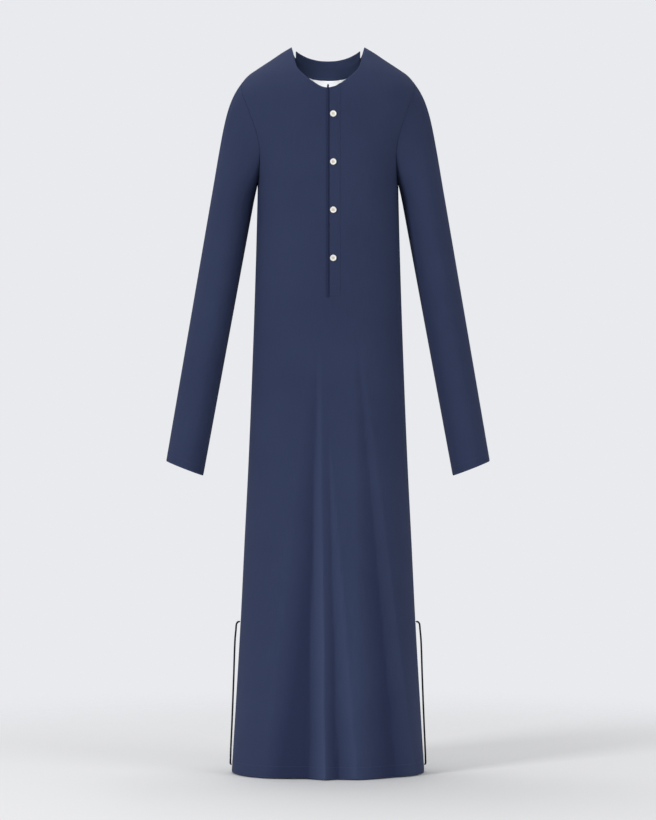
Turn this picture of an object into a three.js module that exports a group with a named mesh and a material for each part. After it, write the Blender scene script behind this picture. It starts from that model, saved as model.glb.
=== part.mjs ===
// Abaya: a long slim robe with set-in sleeves, filled out and hollow, with no wearer in it.
// Millimetres, +Z up. The front faces -Y and +X is the wearer's left.
// The origin is the middle of the neck opening, at the height of the two shoulder points.

import * as THREE from "three";

const { lerp, clamp, degToRad } = THREE.MathUtils;

// ---------------------------------------------------------------- driving dimensions

const HEM_Z = -1447; // garment length from the shoulder points
const SEAM_GAP = 0.3; // between two pieces at a seam, and under what lies on a panel
const ARMHOLE_GAP = 0.4; // between a sleeve and the panels round its armhole
const CLOTH = 1.6; // wall of the panels and sleeves

const NECK_HALF_WIDTH = 73; // shoulder points, where neckline and shoulder seam meet
const SHOULDER_TIP = { x: 170, z: -69 }; // top of the armhole
const UNDERARM_Z = -271;
const ARMHOLE_HALF_DEPTH = 62;

const PLACKET_END_Z = -501;
const PLACKET_WIDTH = 24;
const PLACKET_CLOTH = 1.2;
const PLACKET_LIFT = 0.55; // above the front panel, whose facets twist a little under the strip
const SLIT_HALF_ANGLE = degToRad(0.2); // the opening cut in the front, 1 mm wide
const UNDER_STRIP = { left: -12, right: 14, cloth: 1.4, past_end: 12 };
const PIPING = { half_width: 1.8, height: 2.2, above_neckline: 7, past_end: 3 };

const BUTTON = { x: 10.3, first_z: -142.7, pitch: 94.6, count: 4, radius: 6.5, height: 2.6 };
const BUTTON_LIFT = 0.4; // above the strip it is sewn on


// Half of a button's section from the middle of its back to the middle of its dished face, in
// shares of its radius and height.
const BUTTON_PROFILE = [
  { radius: 0, height: 0 },
  { radius: 0.86, height: 0 },
  { radius: 1, height: 0.35 },
  { radius: 0.97, height: 0.8 },
  { radius: 0.84, height: 1 },
  { radius: 0.66, height: 0.72 },
  { radius: 0, height: 0.66 },
];

// Section of the placket's piping, in shares of its half width and height.
const PIPING_SECTION = [
  { across: -1, height: 0 },
  { across: 1, height: 0 },
  { across: 0.85, height: 0.7 },
  { across: 0.3, height: 1 },
  { across: -0.3, height: 1 },
  { across: -0.85, height: 0.7 },
];

const BAND = { half_width: 66, cloth: 2.2, lean: 0.12 };
const HALF_MOON = { half_width: 50, end: 48.5, depth: 46, least: 2, cloth: 1.2, below_band: 0.8 };

const VENT_TOP_Z = -1153;
const VENT_SPREAD = 4; // how far each edge of a vent stands from the side line at the hem
const VENT_PIPING_RADIUS = 1.3;

// Middle of the +X vent's piping from the vent's head to the hem. off_seam is the distance from
// the cloth's side line where the piping meets the cloth, in place of x.
const VENT_PIPING_ROUTE = [
  { off_seam: 0.5, y: 0, z: -1148 },
  { off_seam: 4.5, y: 0, z: -1148 },
  { x: 183.4, y: 0, z: -1154 },
  { x: 184.2, y: 0, z: -1165 },
  { x: 186, y: 0, z: -1185 },
  { x: 188.6, y: 0, z: -1260 },
  { x: 191.6, y: 0, z: -1340 },
  { x: 195, y: 0, z: -1420 },
  { x: 195.4, y: 1, z: -1431 },
  { off_seam: 1.6, y: 5.6, z: -1435 },
];

// Closed rings of the torso: half the width, and the depth to the front and to the back of the
// plane of the side seams. Rings above the shoulder tip end on the shoulder seam, and rings
// beside the armhole are cut off by it. power is the exponent of the ring's superellipse.
const TORSO_RINGS = [
  { z: 0, half_width: NECK_HALF_WIDTH, front: 30, back: 70, power: 2.4 },
  { z: -12, half_width: 93, front: 41, back: 73, power: 2.4 },
  { z: -25, half_width: 112, front: 50, back: 76, power: 2.4 },
  { z: -45, half_width: 142, front: 64, back: 80, power: 2.4 },
  { z: -57, half_width: 159, front: 70.5, back: 82.5, power: 2.4 },
  { z: SHOULDER_TIP.z, half_width: SHOULDER_TIP.x, front: 76, back: 85, power: 2.4 },
  { z: -85, half_width: 181, front: 82.5, back: 88, power: 2.4 },
  { z: -105, half_width: 187, front: 88, back: 91.5, power: 2.4 },
  { z: -135, half_width: 184, front: 92.5, back: 95.5, power: 2.4 },
  { z: -170, half_width: 172, front: 96, back: 98, power: 2.4 },
  { z: -205, half_width: 156.5, front: 98, back: 99.5, power: 2.4 },
  { z: -240, half_width: 145.5, front: 99, back: 100.5, power: 2.4 },
  { z: UNDERARM_Z, half_width: 140.6, front: 100, back: 101, power: 2.4 },
  { z: -345, half_width: 142, front: 101, back: 102, power: 2.4 },
  { z: PLACKET_END_Z, half_width: 146.4, front: 102.5, back: 103, power: 2.35 },
  { z: -665, half_width: 152.2, front: 106, back: 106, power: 2.3 },
  { z: -825, half_width: 158.8, front: 110.5, back: 110, power: 2.25 },
  { z: -985, half_width: 166.8, front: 115, back: 114.5, power: 2.2 },
  { z: VENT_TOP_Z, half_width: 175, front: 120, back: 119, power: 2.2 },
  { z: -1305, half_width: 183.8, front: 124.5, back: 123, power: 2.2 },
  { z: HEM_Z, half_width: 192.4, front: 128, back: 127, power: 2.2 },
];

// Top edge of the front panel from the centre to the shoulder point.
const FRONT_NECKLINE = [
  { x: 0, z: -90 },
  { x: 12.8, z: -87 },
  { x: 26.6, z: -78.6 },
  { x: 39.5, z: -69 },
  { x: 51.4, z: -58 },
  { x: 61.9, z: -45 },
  { x: 68.5, z: -17 },
  { x: NECK_HALF_WIDTH, z: 0 },
];

// Top edge of the back panel, which lies lower than the band that stands on it.
const BACK_NECKLINE = [
  { x: 0, z: -32 },
  { x: 15, z: -31.5 },
  { x: 30, z: -30 },
  { x: 45, z: -27 },
  { x: 59, z: -21 },
  { x: 67, z: -12 },
  { x: NECK_HALF_WIDTH, z: 0 },
];

// Top and lower edges of the neck band from the centre of the back to its end.
const BAND_EDGES = [
  { x: 0, top: -18.5, low: -56.3 },
  { x: 15, top: -17.8, low: -55.8 },
  { x: 28, top: -15.6, low: -54 },
  { x: 41, top: -12.1, low: -50.8 },
  { x: 57, top: -5.2, low: -41 },
  { x: BAND.half_width, top: -0.6, low: -32 },
];

// Long folds of the skirt from left to right, each a line from its upper end down to the hem.
// height is how far it stands out at the hem: crests are 0 or more, valleys below 0.
const FRONT_FOLDS = [
  { top_x: -24, top_z: -561, hem_x: -126, height: 0 },
  { top_x: -20, top_z: -600, hem_x: -42, height: -9 },
  { top_x: -14, top_z: -653, hem_x: -4, height: 1.5 },
  { top_x: 0, top_z: -771, hem_x: 22, height: -5 },
  { top_x: 4, top_z: -771, hem_x: 62, height: 3.5 },
  { top_x: 52, top_z: -561, hem_x: 66, height: 3.5 },
  { top_x: 56, top_z: -580, hem_x: 136, height: -9 },
  { top_x: 70, top_z: -627, hem_x: 174, height: 0 },
];
const BACK_FOLDS = [
  { top_x: -72, top_z: -600, hem_x: -165, height: 0 },
  { top_x: -60, top_z: -560, hem_x: -118, height: -9 },
  { top_x: -44, top_z: -590, hem_x: -70, height: 3 },
  { top_x: -22, top_z: -640, hem_x: -30, height: -6 },
  { top_x: 8, top_z: -560, hem_x: 14, height: 2.5 },
  { top_x: 24, top_z: -600, hem_x: 62, height: -9 },
  { top_x: 38, top_z: -660, hem_x: 118, height: 0 },
];

// Straight stretch of the +X sleeve in the plane of the side seams: outer and inner edge of its
// section below the armpit and of its cuff, and half the depth of each.
const SLEEVE_TOP = { outer: { x: 234, z: -305 }, inner: { x: 150.3, z: -320 }, half_depth: 53 };
const SLEEVE_CUFF = { outer: { x: 323.6, z: -827 }, inner: { x: 249.4, z: -856 }, half_depth: 41 };
const SLEEVE_START_PULL = 0.75; // how long the cap keeps the direction of the shoulder
const SLEEVE_END_PULL = 1.35; // how long it keeps the direction of the sleeve

const NECK_CELLS = 7; // columns between the centre line and a shoulder point
const NECK_CROWDING = 1.7; // how much closer they lie at the shoulder point than at the centre
const SHOULDER_CELLS = 10; // columns along a shoulder seam
const VENT_CELLS = 4;
const SKIRT_CELLS = 9;
const CHEST_CELLS = 3;
const ARMHOLE_CELLS = 9;
const CAP_CELLS = 6;
const SLEEVE_CELLS = 7;
const BAND_CELLS = { along: 16, inside: 3 };
const HALF_MOON_CELLS = { along: 14, up: 4 };
const UNDER_STRIP_CELLS = 3;
const BUTTON_SIDES = 20;
const VENT_PIPING_STEPS = 22;
const VENT_PIPING_SIDES = 8;
const TINY = 1e-6;
const LEAST_ROW_STEP = 0.05; // rows of a strip closer than this to its ends are left out
const HALVINGS = 60; // enough to settle any height or column to a rounding error
const PLACE_ROUNDS = 12; // passes between a place's row and its column

const COLOURS = {
  body: 0x303958,
  band: 0x29334d,
  piping: 0x1d2330,
  half_moon: 0xe9eaee,
  button: 0xf0ebe0,
};

const FRONT = -1;
const BACK = 1;

// ---------------------------------------------------------------- tables and small helpers

// A monotone cubic through one column of a table, as a function of its key column.
function tableCurve(table, key, column) {
  const rows = [...table].sort((a, b) => a[key] - b[key]);
  const at = rows.map((row) => row[key]);
  const value = rows.map((row) => row[column]);
  const last = rows.length - 1;
  const secant = value.slice(1).map((v, i) => (v - value[i]) / (at[i + 1] - at[i]));
  const slope = value.map((_, i) => {
    if (i === 0) return secant[0];
    if (i === last) return secant[last - 1];
    const product = secant[i - 1] * secant[i];
    return product > 0 ? (2 * product) / (secant[i - 1] + secant[i]) : 0;
  });
  return (wanted) => {
    const w = clamp(wanted, at[0], at[last]);
    const i = Math.min(Math.max(at.findIndex((a) => a >= w) - 1, 0), last - 1);
    const step = at[i + 1] - at[i];
    const u = (w - at[i]) / step;
    const rise = u * u * (3 - 2 * u);
    const ease = (u * (1 - u) * ((1 - u) * slope[i] - u * slope[i + 1])) * step;
    return value[i] * (1 - rise) + value[i + 1] * rise + ease;
  };
}

// Where a rising or falling function reaches a value, by halving the interval.
function solve(f, value, low, high) {
  const rising = f(high) > f(low);
  for (let i = 0; i < HALVINGS; i++) {
    const middle = (low + high) / 2;
    if (f(middle) < value === rising) low = middle;
    else high = middle;
  }
  return (low + high) / 2;
}

function steps(from, to, cells) {
  return Array.from({ length: cells + 1 }, (_, i) => lerp(from, to, i / cells));
}

// ---------------------------------------------------------------- closed bodies from points

// Geometry from points and triangles, turned to face outwards.
function bodyGeometry(points, triangles) {
  const volume = triangles.reduce((sum, [a, b, c]) => {
    const across = new THREE.Vector3().crossVectors(points[b], points[c]);
    return sum + points[a].dot(across);
  }, 0);
  const order = volume < 0 ? triangles.map(([a, b, c]) => [a, c, b]) : triangles;
  const geometry = new THREE.BufferGeometry().setFromPoints(points);
  geometry.setIndex(order.flat());
  geometry.computeVertexNormals();
  return geometry;
}

// The wall between two grids of points, closed with rims along every free edge.
// present tells which cells exist, and wraps joins the last column to the first.
function wallGeometry(outer, inner, { present = () => true, wraps = false } = {}) {
  const rows = outer.length;
  const columns = outer[0].length;
  const cells = wraps ? columns : columns - 1;
  const points = [...outer.flat(), ...inner.flat()];
  const index = (layer, row, column) => (layer * rows + row) * columns + (column % columns);
  const exists = (row, column) => {
    const c = wraps ? (column + cells) % cells : column;
    return row >= 0 && row < rows - 1 && c >= 0 && c < cells && present(row, c);
  };
  const triangles = [];
  const quad = (a, b, c, d) => {
    const firstIsShort = points[a].distanceTo(points[c]) <= points[b].distanceTo(points[d]);
    if (firstIsShort) triangles.push([a, b, c], [a, c, d]);
    else triangles.push([a, b, d], [b, c, d]);
  };
  const rim = (rowA, columnA, rowB, columnB) => {
    const [a, b] = [index(0, rowA, columnA), index(0, rowB, columnB)];
    const [c, d] = [index(1, rowB, columnB), index(1, rowA, columnA)];
    triangles.push([b, a, c], [c, a, d]);
  };
  for (let row = 0; row < rows - 1; row++) {
    for (let column = 0; column < cells; column++) {
      if (!exists(row, column)) continue;
      const corner = (layer, up, along) => index(layer, row + up, column + along);
      quad(corner(0, 0, 0), corner(0, 0, 1), corner(0, 1, 1), corner(0, 1, 0));
      quad(corner(1, 1, 0), corner(1, 1, 1), corner(1, 0, 1), corner(1, 0, 0));
      if (!exists(row - 1, column)) rim(row, column, row, column + 1);
      if (!exists(row, column + 1)) rim(row, column + 1, row + 1, column + 1);
      if (!exists(row + 1, column)) rim(row + 1, column + 1, row + 1, column);
      if (!exists(row, column - 1)) rim(row + 1, column, row, column);
    }
  }
  return bodyGeometry(points, triangles);
}

// A solid bar through a list of equal rings of points, with flat ends.
function barGeometry(rings) {
  const sides = rings[0].length;
  const triangles = [];
  for (let ring = 0; ring < rings.length - 1; ring++) {
    for (let side = 0; side < sides; side++) {
      const next = (side + 1) % sides;
      const [a, b] = [ring * sides + side, ring * sides + next];
      triangles.push([a, b, b + sides], [a, b + sides, a + sides]);
    }
  }
  const end = (rings.length - 1) * sides;
  for (let side = 1; side < sides - 1; side++) {
    triangles.push([0, side + 1, side], [end, end + side, end + side + 1]);
  }
  return bodyGeometry(rings.flat(), triangles);
}

// Unit normals of a grid of points, the cross product of its two directions.
// wraps joins the last column to the first, and turn is 1 or -1.
function gridNormals(points, { turn = 1, wraps = false } = {}) {
  const rows = points.length;
  const columns = points[0].length;
  const column = (c) => (wraps ? (c + columns) % columns : clamp(c, 0, columns - 1));
  return points.map((line, row) =>
    line.map((_, c) => {
      const along = points[row][column(c + 1)].clone().sub(points[row][column(c - 1)]);
      const up = points[Math.min(row + 1, rows - 1)][c].clone();
      up.sub(points[Math.max(row - 1, 0)][c]);
      return along.cross(up).normalize().multiplyScalar(turn);
    }),
  );
}

function moved(points, normals, distance) {
  return points.map((line, row) =>
    line.map((point, c) => point.clone().addScaledVector(normals[row][c], distance)),
  );
}

// ---------------------------------------------------------------- torso surface

const halfWidth = tableCurve(TORSO_RINGS, "z", "half_width");
const ringPower = tableCurve(TORSO_RINGS, "z", "power");
const depthCurve = {
  [FRONT]: tableCurve(TORSO_RINGS, "z", "front"),
  [BACK]: tableCurve(TORSO_RINGS, "z", "back"),
};
const necklineHeight = {
  [FRONT]: tableCurve(FRONT_NECKLINE, "x", "z"),
  [BACK]: tableCurve(BACK_NECKLINE, "x", "z"),
};
const folds = { [FRONT]: FRONT_FOLDS, [BACK]: BACK_FOLDS };

// How far the folds move the cloth outwards: a smooth wave from each fold line to the next,
// each line's own height growing evenly from its upper end to the hem.
function foldHeight(facing, x, z) {
  const lines = folds[facing].map((fold) => {
    const share = clamp((fold.top_z - z) / (fold.top_z - HEM_Z), 0, 1);
    return { x: lerp(fold.top_x, fold.hem_x, share), height: fold.height * share };
  });
  const next = lines.findIndex((line) => line.x > x);
  if (next <= 0) return 0;
  const [from, to] = [lines[next - 1], lines[next]];
  const wave = (1 - Math.cos((Math.PI * (x - from.x)) / (to.x - from.x))) / 2;
  return lerp(from.height, to.height, wave);
}

// The ring's other coordinate: half_size * (1 - (distance / reach)^power)^(1 / power).
function ringReach(size, distance, reach, power) {
  const share = clamp(Math.abs(distance) / reach, 0, 1);
  return size * (1 - share ** power) ** (1 / power);
}

// Depth of the cloth's outer face from the plane of the side seams.
function torsoDepth(facing, x, z) {
  const ring = ringReach(depthCurve[facing](z), x, halfWidth(z), ringPower(z));
  return ring + foldHeight(facing, x, z);
}

// Height of a panel's top edge: the neckline, then the shoulder seam.
function topHeight(facing, x) {
  const across = Math.abs(x);
  if (across < NECK_HALF_WIDTH - TINY) return necklineHeight[facing](across);
  return solve(halfWidth, across, SHOULDER_TIP.z, 0);
}

// Rows of a panel's grid from the hem up: the height of its side edge, how far that edge lies
// from the plane of the side seams, and the share of the top edge's shape that the row takes.
function panelRows() {
  const ventLength = VENT_TOP_Z - HEM_Z;
  const straight = [
    ...steps(HEM_Z, VENT_TOP_Z, VENT_CELLS).slice(0, -1),
    ...steps(VENT_TOP_Z, PLACKET_END_Z, SKIRT_CELLS).slice(0, -1),
    ...steps(PLACKET_END_Z, UNDERARM_Z, CHEST_CELLS).slice(0, -1),
  ].map((z) => ({ z, edge: VENT_SPREAD * Math.max(0, (VENT_TOP_Z - z) / ventLength), share: 0 }));
  const middle = (SHOULDER_TIP.z + UNDERARM_Z) / 2;
  const reach = (SHOULDER_TIP.z - UNDERARM_Z) / 2;
  const armhole = steps(0, Math.PI, ARMHOLE_CELLS).map((turn) => ({
    z: middle - reach * Math.cos(turn),
    edge: ARMHOLE_HALF_DEPTH * Math.sin(turn),
    share: Math.sin(turn / 2),
  }));
  return [...straight, ...armhole];
}

const ROWS = panelRows();
const VENT_ROW = VENT_CELLS;
const PLACKET_ROW = VENT_ROW + SKIRT_CELLS;
const UNDERARM_ROW = PLACKET_ROW + CHEST_CELLS;
const TOP_ROW = ROWS.length - 1;
const NECK_ANGLE = Math.asin(NECK_HALF_WIDTH / SHOULDER_TIP.x);

// Columns from one side edge to the other, each with its angle round the rings of the body and
// its angle on the top edge, where columns crowd towards the shoulder points. A slit has a pair.
function panelColumns(hasSlit) {
  const start = hasSlit ? SLIT_HALF_ANGLE : 0;
  const body = steps(start, Math.PI / 2, NECK_CELLS + SHOULDER_CELLS);
  const neck = steps(1, 0, NECK_CELLS).map((u) => NECK_ANGLE * (1 - u ** NECK_CROWDING));
  neck[0] = start;
  const shoulder = steps(NECK_ANGLE, Math.PI / 2, SHOULDER_CELLS).slice(1);
  const top = [...neck, ...shoulder];
  const half = body.map((angle, i) => ({ angle, top: top[i] }));
  const mirrored = half.map(({ angle, top: edge }) => ({ angle: -angle, top: -edge })).reverse();
  return hasSlit ? [...mirrored, ...half] : [...mirrored, ...half.slice(1)];
}

// A front or back panel as a grid of outer points, their normals and the inner points.
class Panel {
  constructor(facing, hasSlit) {
    this.facing = facing;
    this.columns = panelColumns(hasSlit);
    this.outer = ROWS.map((row) => this.columns.map((column) => this.point(row, column)));
    this.normals = gridNormals(this.outer, { turn: -facing });
    this.normals.forEach((line, row) => {
      line.forEach((normal, column) => {
        if (this.onSeam(row, column)) normal.setY(0).normalize();
      });
    });
    this.inner = moved(this.outer, this.normals, -CLOTH);
  }

  point(row, column) {
    const depth = depthCurve[this.facing](row.z);
    const edge = ringReach(halfWidth(row.z), row.edge, depth, ringPower(row.z));
    const top = topHeight(this.facing, SHOULDER_TIP.x * Math.sin(column.top));
    const x = edge * Math.sin(lerp(column.angle, column.top, row.share ** 2));
    const z = row.z + row.share * (top - SHOULDER_TIP.z);
    const onRidge = row === ROWS.at(-1) && Math.abs(column.top) > NECK_ANGLE - TINY;
    const y = onRidge ? 0 : torsoDepth(this.facing, x, z);
    return new THREE.Vector3(x, this.facing * (y + SEAM_GAP / 2), z);
  }

  // Side seams between the vent and the underarm, and the shoulder seams.
  onSeam(row, column) {
    const isEdge = column === 0 || column === this.columns.length - 1;
    const sideSeam = isEdge && row >= VENT_ROW && row <= UNDERARM_ROW;
    const shoulderSeam = row === TOP_ROW && Math.abs(this.columns[column].top) > NECK_ANGLE - TINY;
    return sideSeam || shoulderSeam;
  }

  // A place between the grid's points, on the flat between them.
  between(grid, row, column) {
    const r = Math.min(Math.floor(row), TOP_ROW - 1);
    const c = Math.min(Math.floor(column), this.columns.length - 2);
    const low = grid[r][c].clone().lerp(grid[r][c + 1], column - c);
    const high = grid[r + 1][c].clone().lerp(grid[r + 1][c + 1], column - c);
    return low.lerp(high, row - r);
  }

  // The column at which a row reaches a given x, and the row at which a column reaches a height.
  columnAt(row, x) {
    return solve((c) => this.between(this.outer, row, c).x, x, 0, this.columns.length - 1);
  }

  rowAt(column, z) {
    return solve((r) => this.between(this.outer, r, column).z, z, 0, TOP_ROW);
  }

  // The same for a point given by its x and height.
  placeAt(x, z) {
    let column = this.columnAt(TOP_ROW, x);
    for (let i = 0; i < PLACE_ROUNDS; i++) column = this.columnAt(this.rowAt(column, z), x);
    return { row: this.rowAt(column, z), column };
  }

  // A layer of cloth on the panel's outer or inner face, over a grid of places.
  layer(places, { inside = false, lift = SEAM_GAP, cloth }) {
    const face = inside ? this.inner : this.outer;
    const way = inside ? -1 : 1;
    const at = (distance) =>
      places.map((line) =>
        line.map(({ row, column }) => {
          const normal = this.between(this.normals, row, column).normalize();
          return this.between(face, row, column).addScaledVector(normal, way * distance);
        }),
      );
    return { near: at(lift), far: at(lift + cloth) };
  }
}

// ---------------------------------------------------------------- panels

function frontPanelGeometry(panel) {
  const slitColumn = panel.columns.length / 2 - 1;
  const present = (row, column) => row < PLACKET_ROW || column !== slitColumn;
  return wallGeometry(panel.outer, panel.inner, { present });
}

function backPanelGeometry(panel) {
  return wallGeometry(panel.outer, panel.inner);
}

// ---------------------------------------------------------------- sleeves

// Points of the armhole on +X from its top, down its front edge and up its back edge, each with
// the cloth's own direction out of the armhole.
function armholeStations(front, back) {
  const station = (panel, row) => {
    const last = panel.columns.length - 1;
    const here = panel.outer[row][last].clone();
    const alongEdge = panel.outer[Math.min(row + 1, TOP_ROW)][last].clone();
    alongEdge.sub(panel.outer[Math.max(row - 1, UNDERARM_ROW)][last]);
    if (row === TOP_ROW || row === UNDERARM_ROW) alongEdge.set(0, 1, 0);
    const out = panel.normals[row][last].clone().cross(alongEdge).normalize();
    const intoArmhole = here.clone().sub(panel.outer[row][last - 1]);
    if (row === UNDERARM_ROW) intoArmhole.set(0, 0, 1);
    if (out.dot(intoArmhole) < 0) out.negate();
    here.y -= panel.facing * (SEAM_GAP / 2);
    return { point: here, out };
  };
  const rows = steps(TOP_ROW, UNDERARM_ROW, ARMHOLE_CELLS).map(Math.round);
  const down = rows.map((row) => station(front, row));
  const up = rows.slice(1, -1).reverse().map((row) => station(back, row));
  return [...down, ...up];
}

// One ring of the straight sleeve, share 0 below the armpit and 1 at the cuff.
function sleeveRing(share, sides) {
  const edge = (name) => {
    const [top, cuff] = [SLEEVE_TOP[name], SLEEVE_CUFF[name]];
    return new THREE.Vector3(lerp(top.x, cuff.x, share), 0, lerp(top.z, cuff.z, share));
  };
  const [outer, inner] = [edge("outer"), edge("inner")];
  const centre = outer.clone().add(inner).multiplyScalar(0.5);
  const half = outer.clone().sub(centre);
  const depth = lerp(SLEEVE_TOP.half_depth, SLEEVE_CUFF.half_depth, share);
  return Array.from({ length: sides }, (_, side) => {
    const turn = (2 * Math.PI * side) / sides;
    const point = centre.clone().addScaledVector(half, Math.cos(turn));
    point.y = -depth * Math.sin(turn);
    return point;
  });
}

// Outer points of the +X sleeve: a cap that leaves the armhole along the shoulder and turns
// smoothly down, as a cubic from each armhole point, and then the straight tube.
function sleevePoints(front, back) {
  const stations = armholeStations(front, back);
  const sides = stations.length;
  const top = sleeveRing(0, sides);
  const cuff = sleeveRing(1, sides);
  const down = cuff[0].clone().sub(top[0]).add(cuff[sides / 2].clone().sub(top[sides / 2]));
  down.normalize();
  const starts = stations.map(({ point, out }, side) => {
    const underarmShare = (1 - Math.cos((2 * Math.PI * side) / sides)) / 2;
    const tangent = out.clone().lerp(down, underarmShare).normalize();
    const gap = out.clone().add(tangent).normalize().multiplyScalar(ARMHOLE_GAP);
    return { point: point.clone().add(gap), tangent };
  });
  const capRing = (u) =>
    starts.map(({ point, tangent }, side) => {
      const reach = point.distanceTo(top[side]);
      const rise = u * u * (3 - 2 * u);
      const place = point.clone().lerp(top[side], rise);
      place.addScaledVector(tangent, SLEEVE_START_PULL * reach * u * (1 - u) ** 2);
      return place.addScaledVector(down, -SLEEVE_END_PULL * reach * u ** 2 * (1 - u));
    });
  const cap = steps(0, 1, CAP_CELLS).slice(0, -1).map(capRing);
  const tube = steps(0, 1, SLEEVE_CELLS).map((share) => sleeveRing(share, sides));
  const points = [...cap, ...tube];
  const normals = gridNormals(points, { wraps: true });
  normals[0].forEach((normal, side) => {
    const around = points[0][(side + 1) % sides].clone();
    around.sub(points[0][(side + sides - 1) % sides]);
    normal.copy(around.cross(starts[side].tangent).normalize());
  });
  const outward = normals[0][0].z > 0 ? 1 : -1;
  return { outer: points, inner: moved(points, normals, -CLOTH * outward) };
}

function sleeveGeometry(sleeve, side) {
  const mirrored = (grid) =>
    grid.map((ring) => ring.map((point) => point.clone().setX(side * point.x)));
  return wallGeometry(mirrored(sleeve.outer), mirrored(sleeve.inner), { wraps: true });
}

// ---------------------------------------------------------------- placket

// Rows of the panel's own grid from one place down to another, with both ends kept.
function rowsBetween(low, high) {
  const isInside = (row) => row > low + LEAST_ROW_STEP && row < high - LEAST_ROW_STEP;
  const inside = [...ROWS.keys()].filter(isInside);
  return [low, ...inside, high];
}

// The upper strip lies beside the piping and ends in a straight edge.
function placketOverGeometry(panel) {
  const firstColumn = panel.columns.length / 2;
  const low = panel.rowAt(firstColumn, PLACKET_END_Z);
  const places = rowsBetween(low, TOP_ROW).map((row) => {
    const columns = [
      panel.columnAt(row, PIPING.half_width + SEAM_GAP),
      firstColumn + 1,
      panel.columnAt(row, PLACKET_WIDTH),
    ];
    return columns.map((column) => ({ row, column }));
  });
  const { near, far } = panel.layer(places, { lift: PLACKET_LIFT, cloth: PLACKET_CLOTH });
  return wallGeometry(far, near);
}

// The under strip lies inside the panel and closes the opening.
function placketUnderGeometry(panel) {
  const middle = panel.columns.length / 2;
  const low = panel.rowAt(middle, PLACKET_END_Z - UNDER_STRIP.past_end);
  const places = rowsBetween(low, TOP_ROW).map((row) =>
    steps(UNDER_STRIP.left, UNDER_STRIP.right, UNDER_STRIP_CELLS).map((x) => ({
      row,
      column: panel.columnAt(row, x),
    })),
  );
  const { near, far } = panel.layer(places, { inside: true, cloth: UNDER_STRIP.cloth });
  return wallGeometry(near, far);
}

// A raised bar along the opening, which stands a little above the neckline.
function placketPipingGeometry(panel) {
  const middle = (panel.columns.length - 1) / 2;
  const low = panel.rowAt(middle, PLACKET_END_Z - PIPING.past_end);
  const ring = (centre, normal) =>
    PIPING_SECTION.map(({ across, height }) => {
      const point = centre.clone().addScaledVector(normal, SEAM_GAP + height * PIPING.height);
      return point.setX(point.x + across * PIPING.half_width);
    });
  const frames = rowsBetween(low, TOP_ROW).map((row) => ({
    centre: panel.between(panel.outer, row, middle),
    normal: panel.between(panel.normals, row, middle).normalize(),
  }));
  const end = frames.at(-1);
  const upwards = end.centre.clone().sub(frames.at(-2).centre).normalize();
  const tip = end.centre.clone().addScaledVector(upwards, PIPING.above_neckline);
  frames.push({ centre: tip, normal: end.normal });
  return barGeometry(frames.map(({ centre, normal }) => ring(centre, normal)));
}

// ---------------------------------------------------------------- neck

// The band's lower part lies inside the back panel, and the rest stands up past its neckline.
function neckBandGeometry(panel) {
  const topEdge = tableCurve(BAND_EDGES, "x", "top");
  const lowEdge = tableCurve(BAND_EDGES, "x", "low");
  const ends = [-BAND.half_width, BAND.half_width].map((x) => panel.columnAt(TOP_ROW, x));
  const columns = steps(...ends, BAND_CELLS.along);
  const places = [];
  for (const share of steps(0, 1, BAND_CELLS.inside)) {
    places.push(
      columns.map((column) => {
        const x = Math.abs(panel.between(panel.outer, TOP_ROW, column).x);
        const row = lerp(panel.rowAt(column, lowEdge(x)), TOP_ROW, share);
        return { row, column };
      }),
    );
  }
  const { near, far } = panel.layer(places, { inside: true, cloth: BAND.cloth });
  const standing = (line, share) =>
    line.map((point) => {
      const rise = share * (topEdge(Math.abs(point.x)) - point.z);
      return new THREE.Vector3(point.x, point.y - BAND.lean * rise, point.z + rise);
    });
  for (const grid of [near, far]) {
    const edge = grid.at(-1);
    grid.push(standing(edge, 0.5), standing(edge, 1));
  }
  return wallGeometry(near, far);
}

// A half-moon patch below the band, with a curved lower edge.
function neckHalfMoonGeometry(panel) {
  const bandLow = tableCurve(BAND_EDGES, "x", "low");
  const { half_width: reach, end, depth, least } = HALF_MOON;
  const chord = bandLow(reach);
  const upper = (x) => bandLow(Math.abs(x)) - HALF_MOON.below_band;
  const lower = (x) => Math.min(chord - depth * Math.sqrt(1 - (x / reach) ** 2), upper(x) - least);
  const across = steps(-end, end, HALF_MOON_CELLS.along);
  const places = steps(0, 1, HALF_MOON_CELLS.up).map((share) =>
    across.map((x) => panel.placeAt(x, lerp(lower(x), upper(x), share))),
  );
  const { near, far } = panel.layer(places, { inside: true, cloth: HALF_MOON.cloth });
  return wallGeometry(near, far);
}

// ---------------------------------------------------------------- buttons and vent piping

// A round button with a raised rim and a dished middle, its axis along +Y.
function buttonGeometry() {
  const profile = BUTTON_PROFILE.map(
    ({ radius, height }) => new THREE.Vector2(radius * BUTTON.radius, height * BUTTON.height),
  );
  return new THREE.LatheGeometry(profile, BUTTON_SIDES);
}

// Buttons sit on the upper strip, square to the cloth.
function placeButton(mesh, panel, z) {
  const { row, column } = panel.placeAt(BUTTON.x, z);
  const normal = panel.between(panel.normals, row, column).normalize();
  const lift = PLACKET_LIFT + PLACKET_CLOTH + BUTTON_LIFT;
  mesh.position.copy(panel.between(panel.outer, row, column)).addScaledVector(normal, lift);
  mesh.quaternion.setFromUnitVectors(new THREE.Vector3(0, 1, 0), normal);
}

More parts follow.
